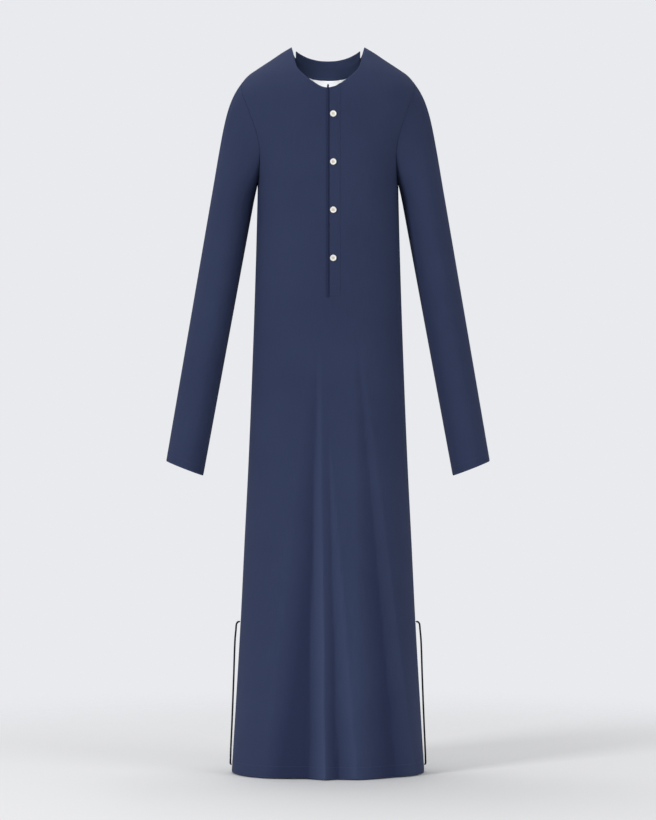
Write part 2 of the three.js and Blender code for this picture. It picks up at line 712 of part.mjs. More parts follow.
// Fine piping from the head of a vent down beside its open edges to the hem's corner.
function ventPipingGeometry(side) {
  const points = VENT_PIPING_ROUTE.map(({ x, off_seam: off, y, z }) => {
    const across = off === undefined ? x : halfWidth(z) + off;
    return new THREE.Vector3(side * across, y, z);
  });
  const path = new THREE.CatmullRomCurve3(points, false, "centripetal");
  const section = new THREE.Shape();
  section.absarc(0, 0, VENT_PIPING_RADIUS, 0, 2 * Math.PI);
  return new THREE.ExtrudeGeometry(section, {
    steps: VENT_PIPING_STEPS,
    curveSegments: VENT_PIPING_SIDES / 2,
    bevelEnabled: false,
    extrudePath: path,
  });
}

// ---------------------------------------------------------------- the abaya

function cloth(colour) {
  return new THREE.MeshStandardMaterial({ color: colour, roughness: 0.85, metalness: 0 });
}

function named(name, geometry, material) {
  const mesh = new THREE.Mesh(geometry, material);
  mesh.name = name;
  return mesh;
}

function buildAbaya() {
  const abaya = new THREE.Group();
  const front = new Panel(FRONT, true);
  const back = new Panel(BACK, false);
  const sleeve = sleevePoints(front, back);

  abaya.add(named("front_panel", frontPanelGeometry(front), cloth(COLOURS.body)));
  abaya.add(named("back_panel", backPanelGeometry(back), cloth(COLOURS.body)));
  abaya.add(named("sleeve_left", sleeveGeometry(sleeve, 1), cloth(COLOURS.body)));
  abaya.add(named("sleeve_right", sleeveGeometry(sleeve, -1), cloth(COLOURS.body)));

  abaya.add(named("placket_over", placketOverGeometry(front), cloth(COLOURS.body)));
  abaya.add(named("placket_under", placketUnderGeometry(front), cloth(COLOURS.body)));
  abaya.add(named("placket_piping", placketPipingGeometry(front), cloth(COLOURS.piping)));

  abaya.add(named("neck_band", neckBandGeometry(back), cloth(COLOURS.band)));
  abaya.add(named("neck_half_moon", neckHalfMoonGeometry(back), cloth(COLOURS.half_moon)));

  for (let i = 0; i < BUTTON.count; i++) {
    const gloss = new THREE.MeshStandardMaterial({ color: COLOURS.button, roughness: 0.35 });
    const button = named(`button_${i + 1}`, buttonGeometry(), gloss);
    placeButton(button, front, BUTTON.first_z - i * BUTTON.pitch);
    abaya.add(button);
  }

  abaya.add(named("vent_piping_left", ventPipingGeometry(1), cloth(COLOURS.piping)));
  abaya.add(named("vent_piping_right", ventPipingGeometry(-1), cloth(COLOURS.piping)));
  return abaya;
}

export default buildAbaya();
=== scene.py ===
"""A long navy abaya, filled out and hollow, set out for its picture.

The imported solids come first, as a fixed frame. Each of them is then stood for by a finer piece
worked out from the same named sizes: a smooth shell of cloth, a strip, a length of piping or a
button. Sizes are in millimetres and meshes in metres, +Z up. The front faces -Y, and +X is the
wearer's left.
"""

import enum
import logging
import math
from dataclasses import dataclass, field

import bmesh
import bpy
import numpy as np
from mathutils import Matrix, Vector


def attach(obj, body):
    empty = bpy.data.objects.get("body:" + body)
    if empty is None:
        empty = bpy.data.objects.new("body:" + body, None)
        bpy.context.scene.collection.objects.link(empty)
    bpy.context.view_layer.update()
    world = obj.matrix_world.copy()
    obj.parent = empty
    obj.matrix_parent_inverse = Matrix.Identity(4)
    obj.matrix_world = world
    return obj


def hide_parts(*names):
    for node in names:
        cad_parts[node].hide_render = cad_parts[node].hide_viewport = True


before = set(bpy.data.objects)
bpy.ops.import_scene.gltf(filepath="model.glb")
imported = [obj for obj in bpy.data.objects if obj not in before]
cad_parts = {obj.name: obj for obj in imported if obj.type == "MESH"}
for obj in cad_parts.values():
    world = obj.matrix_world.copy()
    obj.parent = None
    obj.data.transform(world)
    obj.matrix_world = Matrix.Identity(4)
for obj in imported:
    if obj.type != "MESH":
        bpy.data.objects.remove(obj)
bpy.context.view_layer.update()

LOG = logging.getLogger("abaya")
MM = 0.001
BODY = "root"

Array = np.ndarray
Socket = bpy.types.NodeSocket
Colour = tuple[float, float, float, float]


class Facing(enum.Enum):
    """The side of the garment that a panel is on, as the sign of its Y."""

    FRONT = -1
    BACK = 1


class Side(enum.Enum):
    """The wearer's side, as the sign of X."""

    LEFT = 1
    RIGHT = -1


# ---------------------------------------------------------------- sizes of the garment


@dataclass(frozen=True)
class Ring:
    """One closed ring of the torso: half its width, its depths and the power of its curve."""

    z: float
    half_width: float
    front: float
    back: float
    power: float


@dataclass(frozen=True)
class FoldLine:
    """One long fold of the skirt, from its upper end to the hem, and its height at the hem."""

    top_x: float
    top_z: float
    hem_x: float
    height: float


HEM_Z = -1447.0
VENT_TOP_Z = -1153.0
VENT_SPREAD = 4.0
UNDERARM_Z = -271.0
TIP_X, TIP_Z = 170.0, -69.0
ARMHOLE_HALF_DEPTH = 62.0
NECK_HALF_WIDTH = 73.0
PLACKET_END_Z = -501.0
NECK_ANGLE = math.asin(NECK_HALF_WIDTH / TIP_X)
EDGE_ROWS = np.array([0.0, 0.7, 1.5, 2.6, 4.2])  # rows lie this far from a rolled edge
CLOTH_WALL = 1.15

RINGS = (
    Ring(0, NECK_HALF_WIDTH, 30, 70, 2.4),
    Ring(-12, 93, 41, 73, 2.4),
    Ring(-25, 112, 50, 76, 2.4),
    Ring(-45, 142, 64, 80, 2.4),
    Ring(-57, 159, 70.5, 82.5, 2.4),
    Ring(TIP_Z, TIP_X, 76, 85, 2.4),
    Ring(-85, 181, 82.5, 88, 2.4),
    Ring(-105, 187, 88, 91.5, 2.4),
    Ring(-135, 184, 92.5, 95.5, 2.4),
    Ring(-170, 172, 96, 98, 2.4),
    Ring(-205, 156.5, 98, 99.5, 2.4),
    Ring(-240, 145.5, 99, 100.5, 2.4),
    Ring(UNDERARM_Z, 140.6, 100, 101, 2.4),
    Ring(-345, 142, 101, 102, 2.4),
    Ring(PLACKET_END_Z, 146.4, 102.5, 103, 2.35),
    Ring(-665, 152.2, 106, 106, 2.3),
    Ring(-825, 158.8, 110.5, 110, 2.25),
    Ring(-985, 166.8, 115, 114.5, 2.2),
    Ring(VENT_TOP_Z, 175, 120, 119, 2.2),
    Ring(-1305, 183.8, 124.5, 123, 2.2),
    Ring(HEM_Z, 192.4, 128, 127, 2.2),
)
FRONT_NECKLINE = ((0, -90), (12.8, -87), (26.6, -78.6), (39.5, -69), (51.4, -58), (61.9, -45),
                  (68.5, -17), (NECK_HALF_WIDTH, 0))
BACK_NECKLINE = ((0, -32), (15, -31.5), (30, -30), (45, -27), (59, -21), (67, -12),
                 (NECK_HALF_WIDTH, 0))
BAND_TOP = ((0, -18.5), (15, -17.8), (28, -15.6), (41, -12.1), (57, -5.2), (66, -0.6))
BAND_LOW = ((0, -56.3), (15, -55.8), (28, -54), (41, -50.8), (57, -41), (66, -32))
FRONT_FOLDS = (
    FoldLine(-24, -561, -126, 0),
    FoldLine(-20, -600, -42, -15),
    FoldLine(-14, -653, -5, 5),
    FoldLine(0, -771, 19, -7),
    FoldLine(4, -771, 58, 5),
    FoldLine(52, -561, 62, 5),
    FoldLine(56, -580, 132, -9.5),
    FoldLine(70, -627, 174, 0),
)
BACK_FOLDS = (
    FoldLine(-72, -600, -165, 0),
    FoldLine(-60, -560, -118, -12),
    FoldLine(-44, -590, -70, 4),
    FoldLine(-22, -640, -30, -8),
    FoldLine(8, -560, 14, 3.5),
    FoldLine(24, -600, 62, -12),
    FoldLine(38, -660, 118, 0),
)


# ---------------------------------------------------------------- curves and the torso's form


class Curve:
    """A monotone cubic through a short table of places and values.

    Between two places the value is a Hermite cubic whose slope at each place is the harmonic
    mean of the slopes on its two sides, or 0 where they differ in sign.
    """

    def __init__(self, at: list[float], value: list[float]) -> None:
        """Works out the slopes.

        Args:
            at: the places, in any order.
            value: the value at each place.
        """
        order = np.argsort(at)
        self.at = np.asarray(at, float)[order]
        self.value = np.asarray(value, float)[order]
        secant = np.diff(self.value) / np.diff(self.at)
        product = secant[:-1] * secant[1:]
        total = np.where(product > 0, secant[:-1] + secant[1:], 1.0)
        inner = np.where(product > 0, 2 * product / total, 0.0)
        self.slope = np.concatenate([secant[:1], inner, secant[-1:]])

    def __call__(self, wanted: Array) -> Array:
        """The curve's value, held level past its ends.

        Args:
            wanted: places along the curve.

        Returns:
            The value at each of them.
        """
        w = np.clip(wanted, self.at[0], self.at[-1])
        i = np.clip(np.searchsorted(self.at, w) - 1, 0, len(self.at) - 2)
        step = self.at[i + 1] - self.at[i]
        u = (w - self.at[i]) / step
        rise = smooth_step(u)
        ease = u * (1 - u) * ((1 - u) * self.slope[i] - u * self.slope[i + 1]) * step
        return self.value[i] * (1 - rise) + self.value[i + 1] * rise + ease


def lerp(a: Array, b: Array, share: Array) -> Array:
    """The value that share of the way from a to b."""
    return a + (b - a) * share


def unit(vectors: Array) -> Array:
    """The vectors scaled to a length of 1 along their last axis."""
    length = np.linalg.norm(vectors, axis=-1, keepdims=True)
    return vectors / np.maximum(length, 1e-12)


def smooth_step(share: Array) -> Array:
    """s^2 (3 - 2 s), s being the share held between 0 and 1."""
    held = np.clip(share, 0, 1)
    return held * held * (3 - 2 * held)


def ring_reach(size: Array, distance: Array, reach: Array, power: Array) -> Array:
    """A ring's second coordinate: size * (1 - (distance / reach)^power)^(1 / power).

    Args:
        size: half the ring's size along the second coordinate.
        distance: how far out a point is along the first one.
        reach: half the ring's size along the first one.
        power: 2 for an ellipse, and more for a squarer ring.

    Returns:
        The second coordinate, 0 past the ring's end.
    """
    share = np.clip(np.abs(distance) / reach, 0, 1)
    return size * (1 - share**power) ** (1 / power)


@dataclass
class TorsoForm:
    """The outer face of the torso's cloth as a depth in front of and behind the side seams.

    Attributes:
        crease: how sharp a fold's crests and valleys are, from 0, round, to 1, straight flanks.
        painted_crest_height: the height of a crest, in millimetres, that adds 1 to the painted
            light.
        painted_flank_light: how much painted light a flank of slope 1 that faces -X, towards the
            key light, gets.
        half_width, power: of the torso's ring at each height.
        depth, neckline, folds: of the front and of the back.
    """

    crease: float = 0.92
    painted_crest_height: float = 12.0
    painted_flank_light: float = 1.3
    half_width: Curve = field(init=False)
    power: Curve = field(init=False)
    depth: dict[Facing, Curve] = field(init=False)
    neckline: dict[Facing, Curve] = field(init=False)
    folds: dict[Facing, tuple[FoldLine, ...]] = field(init=False)

    def __post_init__(self) -> None:
        """Turns the tables into curves."""
        heights = [ring.z for ring in RINGS]
        self.half_width = Curve(heights, [ring.half_width for ring in RINGS])
        self.power = Curve(heights, [ring.power for ring in RINGS])
        self.depth = {
            Facing.FRONT: Curve(heights, [ring.front for ring in RINGS]),
            Facing.BACK: Curve(heights, [ring.back for ring in RINGS]),
        }
        self.neckline = {
            Facing.FRONT: Curve(*zip(*FRONT_NECKLINE)),
            Facing.BACK: Curve(*zip(*BACK_NECKLINE)),
        }
        self.folds = {Facing.FRONT: FRONT_FOLDS, Facing.BACK: BACK_FOLDS}

    def fold_height(self, facing: Facing, x: Array, z: Array) -> Array:
        """How far the folds move the cloth outwards.

        A fold line's x and height go evenly from its upper end to the hem. Between two lines
        the height goes from one to the other along a mix of a half cosine wave and a straight
        line, by the share in crease.

        Args:
            facing: front or back.
            x, z: places on the panel.

        Returns:
            Millimetres outwards at each place.
        """
        x, z = np.broadcast_arrays(x, z)
        table = np.array([(f.top_x, f.top_z, f.hem_x, f.height) for f in self.folds[facing]])
        top_x, top_z, hem_x, height = (c.reshape(-1, *[1] * x.ndim) for c in table.T)
        share = np.clip((top_z - z) / (top_z - HEM_Z), 0, 1)
        line_x = lerp(top_x, hem_x, share)
        line_height = height * share
        after = (line_x <= x).sum(axis=0)
        inside = (after > 0) & (after < len(table))
        to = np.clip(after, 1, len(table) - 1)[None]
        x0, x1 = (np.take_along_axis(line_x, k, 0)[0] for k in (to - 1, to))
        h0, h1 = (np.take_along_axis(line_height, k, 0)[0] for k in (to - 1, to))
        u = np.clip((x - x0) / np.maximum(x1 - x0, 1e-6), 0, 1)
        wave = lerp((1 - np.cos(math.pi * u)) / 2, u, self.crease)
        return np.where(inside, lerp(h0, h1, wave), 0.0)

    def painted_light_on_folds(self, facing: Facing, x: Array, z: Array) -> Array:
        """Painted light on the folds: h / painted_crest_height + painted_flank_light * max(dh/dx,
        0).

        Here h is the folds' height. Crests are painted lighter than valleys, and the flanks that
        face
        -X, towards the key light, are painted lighter still.

        Args:
            facing: front or back.
            x, z: places on the panel.

        Returns:
            The painted light on the folds, the mark "relief", at each place.
        """
        step = 1.5
        here = self.fold_height(facing, x, z)
        rise = self.fold_height(facing, x + step, z) - self.fold_height(facing, x - step, z)
        return here / self.painted_crest_height + self.painted_flank_light * np.maximum(rise / (2 * step), 0.0)

    def depth_at(self, facing: Facing, x: Array, z: Array) -> Array:
        """D(z) (1 - (|x| / X(z))^n(z))^(1 / n(z)) plus the folds' height."""
        ring = ring_reach(self.depth[facing](z), x, self.half_width(z), self.power(z))
        return ring + self.fold_height(facing, x, z)

    def top_height(self, facing: Facing, x: Array) -> Array:
        """Height of a panel's top edge: its neckline, and then the shoulder seam.

        Args:
            facing: front or back.
            x: places along the edge.

        Returns:
            The height at each place. The seam's is the inverse of the torso's half width.
        """
        across = np.abs(x)
        heights = np.linspace(TIP_Z, 0, 600)
        seam = np.interp(across, self.half_width(heights)[::-1], heights[::-1])
        return np.where(across < NECK_HALF_WIDTH, self.neckline[facing](across), seam)

    def outward(self, facing: Facing, x: Array, z: Array) -> Array:
        """The outer face's unit normal, whose slopes are central differences of the depth.

        Args:
            facing: front or back.
            x, z: places well inside a panel.

        Returns:
            A unit vector out of the cloth at each place.
        """
        x, z = np.broadcast_arrays(np.asarray(x, float), np.asarray(z, float))
        h = 0.5
        slope_x = (self.depth_at(facing, x + h, z) - self.depth_at(facing, x - h, z)) / (2 * h)
        slope_z = (self.depth_at(facing, x, z + h) - self.depth_at(facing, x, z - h)) / (2 * h)
        return unit(np.stack([-slope_x, np.full_like(x, facing.value), -slope_z], axis=-1))

    def skin(self, facing: Facing, x: Array, z: Array, lift: Array = 0.0) -> Array:
        """Points (x, facing * depth, z) + lift * outward.

        Args:
            facing: front or back.
            x, z: places well inside a panel.
            lift: millimetres off the outer face, less than 0 on its inner side.

        Returns:
            A point for each place.
        """
        x, z = np.broadcast_arrays(np.asarray(x, float), np.asarray(z, float))
        point = np.stack([x, facing.value * self.depth_at(facing, x, z), z], axis=-1)
        return point + np.asarray(lift)[..., None] * self.outward(facing, x, z)


FORM = TorsoForm()


def grid_normals(points: Array, wraps: bool = False) -> Array:
    """Unit cross product of the grid's direction along its columns and up its rows.

    Args:
        points: rows by columns by 3.
        wraps: whether the last column joins the first.

    Returns:
        A unit vector for each point.
    """
    if wraps:
        along = np.roll(points, -1, axis=1) - np.roll(points, 1, axis=1)
    else:
        along = np.gradient(points, axis=1)
    return unit(np.cross(along, np.gradient(points, axis=0)))


def arc_lengths(points: Array, axis: int) -> Array:
    """Distance of each point from the first one of its line, as a sum of steps.

    Args:
        points: rows by columns by 3, or several of those, or a path of points by 3.
        axis: 0 for lines up the rows or for a path, and 1 for lines along the columns.

    Returns:
        The distance at each point.
    """
    at = axis - (points.ndim if points.ndim == 2 else 3)
    step = np.linalg.norm(np.diff(points, axis=at), axis=-1)
    start = np.zeros_like(np.take(step, [0], axis=at + 1))
    return np.concatenate([start, np.cumsum(step, axis=at + 1)], axis=at + 1)


# ---------------------------------------------------------------- meshes


@dataclass
class Surface:
    """A grid of points, in millimetres, or several equal grids, that become one mesh.

    Attributes:
        points: rows by columns by 3, or grids by rows by columns by 3.
        turned: swaps the way the faces point.
        wraps: joins the last column to the first.
        missing: cells left out of every grid, rows - 1 by cells across.
        marks: named values, one for each point, for the materials to read.
    """

    points: Array
    turned: bool = False
    wraps: bool = False
    missing: Array | None = None
    marks: dict[str, Array] = field(default_factory=dict)

    def corners(self) -> tuple[Array, Array]:
        """The corners of each cell of one grid.

        Returns:
            The row and the column of its four corners, each as cells by 4.
        """
        rows, columns = self.points.shape[-3:-1]
        cells = columns if self.wraps else columns - 1
        row, cell = np.meshgrid(np.arange(rows - 1), np.arange(cells), indexing="ij")
        up = np.stack([row, row, row + 1, row + 1], axis=-1)
        along = np.stack([cell, cell + 1, cell + 1, cell], axis=-1)
        if self.missing is not None:
            up, along = up[~self.missing], along[~self.missing]
        order = slice(None, None, -1) if self.turned else slice(None)
        return up.reshape(-1, 4)[:, order], along.reshape(-1, 4)[:, order]

    def faces(self) -> Array:
        """The corners of each cell of every grid.

        Returns:
            Its four corners as point numbers, as cells by 4.
        """
        rows, columns = self.points.shape[-3:-1]
        up, along = self.corners()
        quads = up * columns + along % columns
        copies = self.points.size // (3 * rows * columns)
        return (quads + (np.arange(copies) * rows * columns)[:, None, None]).reshape(-1, 4)

    def corner_uv(self) -> Array:
        """Metres across and along the cloth, as arc lengths.

        Returns:
            The pair at each corner of each face, in the order of the faces.
        """
        points = self.points
        if self.wraps:
            points = np.concatenate([points, points[..., :1, :]], axis=-2)
        across = arc_lengths(points, 1)
        if not self.wraps:
            across = across - across[..., [across.shape[-1] // 2]]
        up, along = self.corners()
        uv = np.stack([across, arc_lengths(points, 0)], axis=-1)[..., up, along, :]
        return uv.reshape(-1, 2) * MM


def mesh_object(name: str, surfaces: list[Surface], weld: bool = False) -> bpy.types.Object:
    """One smooth mesh object from one or more surfaces.

    Args:
        name: the object's name.
        surfaces: the surfaces, which carry the same marks.
        weld: joins points that coincide, as at the poles of closed bars.

    Returns:
        The object, at the origin, with its UV map "cloth" in metres and its marks as attributes.
    """
    starts = np.cumsum([0] + [s.points.size // 3 for s in surfaces])
    points = np.concatenate([s.points.reshape(-1, 3) for s in surfaces]) * MM
    faces = np.concatenate([s.faces() + start for s, start in zip(surfaces, starts)])
    uv = np.concatenate([s.corner_uv() for s in surfaces])
    mesh = bpy.data.meshes.new(name)
    mesh.from_pydata(points.tolist(), [], faces.tolist())
    mesh.uv_layers.new(name="cloth").data.foreach_set("uv", uv.ravel())
    for mark in surfaces[0].marks:
        values = np.concatenate([s.marks[mark].ravel() for s in surfaces])
        mesh.attributes.new(mark, "FLOAT", "POINT").data.foreach_set("value", values)
    if weld:
        joined = bmesh.new()
        joined.from_mesh(mesh)
        bmesh.ops.remove_doubles(joined, verts=joined.verts, dist=1e-7)
        joined.to_mesh(mesh)
        joined.free()
    mesh.polygons.foreach_set("use_smooth", np.ones(len(mesh.polygons), bool))
    mesh.update()
    made = bpy.data.objects.new(name, mesh)
    bpy.context.scene.collection.objects.link(made)
    return made


def walled(name: str, surface: Surface, wall: float) -> bpy.types.Object:
    """A shell of cloth: an outer face given its thickness inwards.

    Args:
        name: the object's name.
        surface: the outer face.
        wall: the thickness in millimetres.

    Returns:
        The object.
    """
    made = mesh_object(name, [surface])
    solid = made.modifiers.new("wall", "SOLIDIFY")
    solid.thickness = wall * MM
    solid.offset = -1
    solid.use_rim = True
    solid.use_quality_normals = True
    return made


def bar_surface(path: Array, radii: Array, sides: int, reference: Array,
                flatness: float = 1.0, loop: bool = False) -> Surface:
    """A closed bar of oval section along a path.

    Each ring is the path's point plus radius * (cos a * side + flatness * sin a * up), where
    side is the path's direction crossed with the reference and up is side crossed with the
    direction.

    Args:
        path: points by 3.
        radii: one for each point, 0 at a closed end.
        sides: corners of each ring.
        reference: a direction that the path never follows, or one for each point.
        flatness: the section's height over its width.
        loop: whether the path returns to its start.

    Returns:
        The bar's surface.
    """
    if loop:
        along = unit(np.roll(path, -1, axis=0) - np.roll(path, 1, axis=0))
    else:
        along = unit(np.gradient(path, axis=0))
    side = unit(np.cross(along, reference))
    up = np.cross(side, along)
    angle = np.linspace(0, 2 * math.pi, sides, endpoint=False)[None, :, None]
    ring = np.cos(angle) * side[:, None] + flatness * np.sin(angle) * up[:, None]
    points = path[:, None] + np.reshape(radii, (-1, 1, 1)) * ring
    if loop:
        points = np.concatenate([points, points[:1]])
    return Surface(points, turned=True, wraps=True)


def round_ends(count: int, radius: float, taper: int = 4) -> Array:
    """Radii for a bar whose ends are rounded: radius * sqrt(1 - (1 - i / taper)^2).

    Args:
        count: of the bar's points.
        radius: of its middle.
        taper: how many points i each end takes.

    Returns:
        A radius for each point, 0 at both ends.
    """
    inward = np.minimum(np.arange(count), np.arange(count)[::-1])
    share = np.clip(inward / taper, 0, 1)
    return radius * np.sqrt(1 - (1 - share) ** 2)


@dataclass(frozen=True)
class Edge:
    """How the free edge of a piece of cloth rolls in and shows as pressed.

    Attributes:
        roll: how far the edge itself turns in.
        reach: the distance over which the roll dies away.
        pressed: the distance over which the pressed look does.
    """

    roll: float = 0.5
    reach: float = 1.8
    pressed: float = 2.5

    def sink(self, distance: Array) -> Array:
        """How far the cloth turns in, roll * exp(-(distance / reach)^2)."""
        return self.roll * np.exp(-((distance / self.reach) ** 2))

    def marks(self, distance: Array, relief: Array | None = None) -> dict[str, Array]:
        """The marks that a cloth finish reads.

        Args:
            distance: of each point from the nearest edge.
            relief: the painted light and shade on the folds there, or None for 0.

        Returns:
            "edge", which is exp(-(distance / pressed)^2), and "relief", the painted light.
        """
        pressed = np.exp(-((distance / self.pressed) ** 2))
        return {"edge": pressed, "relief": np.zeros_like(pressed) if relief is None else relief}


# ---------------------------------------------------------------- shader helpers


class Graph:
    """Adds and joins the nodes of one shader tree."""

    def __init__(self, tree: bpy.types.NodeTree) -> None:
        """Keeps the tree, emptied."""
        self.tree = tree
        tree.nodes.clear()

    def node(self, kind: str, inputs: dict | None = None, **settings: object) -> bpy.types.Node:
        """A new node.

        Args:
            kind: the node's type, without "ShaderNode" in front.
            inputs: socket name or number to a value or to another node's output.
            settings: the node's own properties.

        Returns:
            The node.
        """
        made = self.tree.nodes.new("ShaderNode" + kind)
        for name, value in settings.items():
            setattr(made, name, value)
        for name, value in (inputs or {}).items():
            if isinstance(value, bpy.types.NodeSocket):
                self.tree.links.new(value, made.inputs[name])
            else:
                made.inputs[name].default_value = value
        return made

    def math(self, operation: str, *values: Socket | float) -> Socket:
        """The output of a Math node on up to three numbers or sockets."""
        return self.node("Math", dict(enumerate(values)), operation=operation).outputs[0]

    def blend(self, share: Socket, a: Socket | Colour, b: Socket | Colour) -> Socket:
        """The colour that share of the way from a to b."""
        return self.node("Mix", {0: share, 6: a, 7: b}, data_type="RGBA").outputs[2]

    def mark(self, name: str) -> Socket:
        """One of the mesh's marks as a number."""
        return self.node("Attribute", attribute_name=name).outputs["Fac"]

    def mottle(self, scale: float) -> Socket:
        """The slow mottle over the object.

        Args:
            scale: of its noise, larger for finer clouds.

        Returns:
            Its tone.
        """
        place = self.node("TexCoord").outputs["Object"]
        inputs = {"Vector": place, "Scale": scale}
        return self.node("Group", inputs, node_tree=Groups.mottle()).outputs["Tone"]

    def close(self, shader: bpy.types.Node, kind: str = "OutputMaterial") -> None:
        """Joins the shader to the tree's output."""
        self.tree.links.new(shader.outputs[0], self.node(kind).inputs[0])


def new_material(name: str) -> tuple[bpy.types.Material, Graph]:
    """An empty material.

    Args:
        name: the material's name.

    Returns:
        The material and its graph.
    """
    made = bpy.data.materials.new(name)
    made.use_nodes = True
    return made, Graph(made.node_tree)


def new_group(name: str, inputs: dict[str, float | None], outputs: list[str]) -> tuple:
    """An empty node group with its named sockets.

    Args:
        name: the group's name.
        inputs: socket name to its value, or None for a vector.
        outputs: names of the values that it puts out.

    Returns:
        The group, its graph, the input node's outputs and the output node's inputs.
    """
    group = bpy.data.node_groups.new(name, "ShaderNodeTree")
    for socket, value in inputs.items():
        kind = "NodeSocketVector" if value is None else "NodeSocketFloat"
        made = group.interface.new_socket(socket, in_out="INPUT", socket_type=kind)
        if value is not None:
            made.default_value = value
    for socket in outputs:
        group.interface.new_socket(socket, in_out="OUTPUT", socket_type="NodeSocketFloat")
    graph = Graph(group)
    source = group.nodes.new("NodeGroupInput").outputs
    target = group.nodes.new("NodeGroupOutput").inputs
    return group, graph, source, target


class Groups:
    """The effects that more than one finish uses, each built once."""

    _made: dict[str, bpy.types.NodeTree] = {}

    @classmethod
    def weave(cls) -> bpy.types.NodeTree:
        """A plain weave: height |sin(pi x)| or |sin(pi y)| by turns, as on a chequer board.

        Slub lengthens it with a slow noise along each thread, and Pebble adds the fine grain
        of crepe. Tone follows both.

        Returns:
            The group, whose Vector is metres across and along the cloth.
        """
        if "weave" in cls._made:
            return cls._made["weave"]
        inputs = {"Vector": None, "Threads": 1500.0, "Pebble": 0.5, "Slub": 0.5}
        group, g, source, target = new_group("plain weave", inputs, ["Height", "Tone"])
        counted = {0: source["Vector"], "Scale": source["Threads"]}
        scaled = g.node("VectorMath", counted, operation="SCALE").outputs[0]
        xyz = g.node("SeparateXYZ", {0: scaled})
        across, along = (
            g.math("ABSOLUTE", g.math("SINE", g.math("MULTIPLY", xyz.outputs[k], math.pi)))
            for k in (0, 1)
        )
        chequer = g.node("TexChecker", {"Vector": scaled, "Scale": 1.0})
        threads = g.node("Mix", {0: chequer.outputs["Fac"], 2: across, 3: along})
        pebble = g.node("TexNoise", {"Vector": scaled, "Scale": 0.37, "Detail": 2.0})
        thread_size = {0: source["Vector"], 1: (700.0, 26.0, 1.0)}
        stretched = g.node("VectorMath", thread_size, operation="MULTIPLY").outputs[0]
        slub = g.node("TexNoise", {"Vector": stretched, "Scale": 1.0, "Detail": 1.0})
        grain = g.math("MULTIPLY", pebble.outputs["Fac"], source["Pebble"])
        g.tree.links.new(g.math("ADD", threads.outputs[0], grain), target["Height"])
        streak = g.math("MULTIPLY", g.math("SUBTRACT", slub.outputs["Fac"], 0.5), source["Slub"])
        speck = g.math("MULTIPLY", g.math("SUBTRACT", pebble.outputs["Fac"], 0.5), 0.6)
        g.tree.links.new(g.math("ADD", streak, speck), target["Tone"])
        cls._made["weave"] = group
        return group

    @classmethod
    def mottle(cls) -> bpy.types.NodeTree:
        """Slow changes over the object, as noise of a named size, from -0.5 to 0.5.

        Returns:
            The group.
        """
        if "mottle" in cls._made:
            return cls._made["mottle"]
        inputs = {"Vector": None, "Scale": 6.0, "Detail": 2.0}
        group, g, source, target = new_group("slow mottle", inputs, ["Tone"])
        noise = g.node("TexNoise", {name: source[name] for name in inputs})
        g.tree.links.new(g.math("SUBTRACT", noise.outputs["Fac"], 0.5), target["Tone"])
        cls._made["mottle"] = group
        return group


# ---------------------------------------------------------------- finishes and cuts


def rgb(red: int, green: int, blue: int) -> Colour:
    """A screen colour as the linear colour that sockets take.

    Args:
        red, green, blue: 0 to 255 each.

    Returns:
        The three linear shares and an alpha of 1.
    """
    share = np.array([red, green, blue]) / 255
    linear = np.where(share <= 0.04045, share / 12.92, ((share + 0.055) / 1.055) ** 2.4)
    return (*(float(x) for x in linear), 1.0)


@dataclass(frozen=True)
class Finish:
    """What a piece is made of.

    Attributes:
        name: the material's name.
        slot: the record's material slot; not used.
        colour: its main colour.
        second: the colour that it turns to, as each kind of finish says.
    """

    name: str
    slot: str
    colour: Colour
    second: Colour

    def shader(self, g: Graph) -> bpy.types.Node:
        """The shader, which each kind of finish builds in its own way."""
        raise NotImplementedError

    def material(self) -> bpy.types.Material:
        """The finish as a material, built once.

        Returns:
            The material.
        """
        if self.name not in bpy.data.materials:
            graph = new_material(self.name)[1]
            graph.close(self.shader(graph))
        return bpy.data.materials[self.name]


@dataclass(frozen=True)
class ClothFinish(Finish):
    """A woven cloth, which turns to its second colour where light is painted on its folds.

    Attributes:
        threads: threads for each metre.
        pebble: how strong the crepe's grain is.
        slub: how uneven the threads are.
        relief: how much the mark "relief", painted light on the folds, lightens it.
        bump: depth of the weave in millimetres.
        roughness: the shader's roughness.
        sheen: the shader's sheen weight.
    """

    threads: float = 1500.0
    pebble: float = 0.8
    slub: float = 0.5
    relief: float = 0.0
    bump: float = 0.22
    roughness: float = 0.86
    sheen: float = 0.05

    def shader(self, g: Graph) -> bpy.types.Node:
        """The cloth's shader.

        Base colour goes from one colour to the other by the weave's tone, a slow mottle, the
        mark "relief", painted light and shade on the folds, and the mark "edge", which is 1 on a
        pressed edge.

        Args:
            g: the material's graph.

        Returns:
            The shader's node.
        """
        cloth = g.node("UVMap", uv_map="cloth").outputs["UV"]
        inputs = {"Vector": cloth, "Threads": self.threads, "Pebble": self.pebble,
                  "Slub": self.slub}
        weave = g.node("Group", inputs, node_tree=Groups.weave()).outputs
        tone = g.math("MULTIPLY_ADD", weave["Tone"], 0.55, 0.34)
        tone = g.math("MULTIPLY_ADD", g.mottle(7.0), 0.3, tone)
        # painted light and shade: lightens fold crests and the flanks that face the key light
        tone = g.math("MULTIPLY_ADD", g.mark("relief"), self.relief, tone)
        tone = g.math("MULTIPLY_ADD", g.mark("edge"), 0.18, tone)
        bump = g.node("Bump", {"Strength": 0.5, "Distance": self.bump * MM,
                               "Height": weave["Height"]})
        return g.node("BsdfPrincipled", {
            "Base Color": g.blend(tone, self.colour, self.second),
            "Roughness": g.math("MULTIPLY_ADD", weave["Tone"], 0.2, self.roughness),
            "Normal": bump.outputs[0], "Specular IOR Level": 0.25,
            "Sheen Weight": self.sheen, "Sheen Roughness": 0.45, "Sheen Tint": self.second,
        })


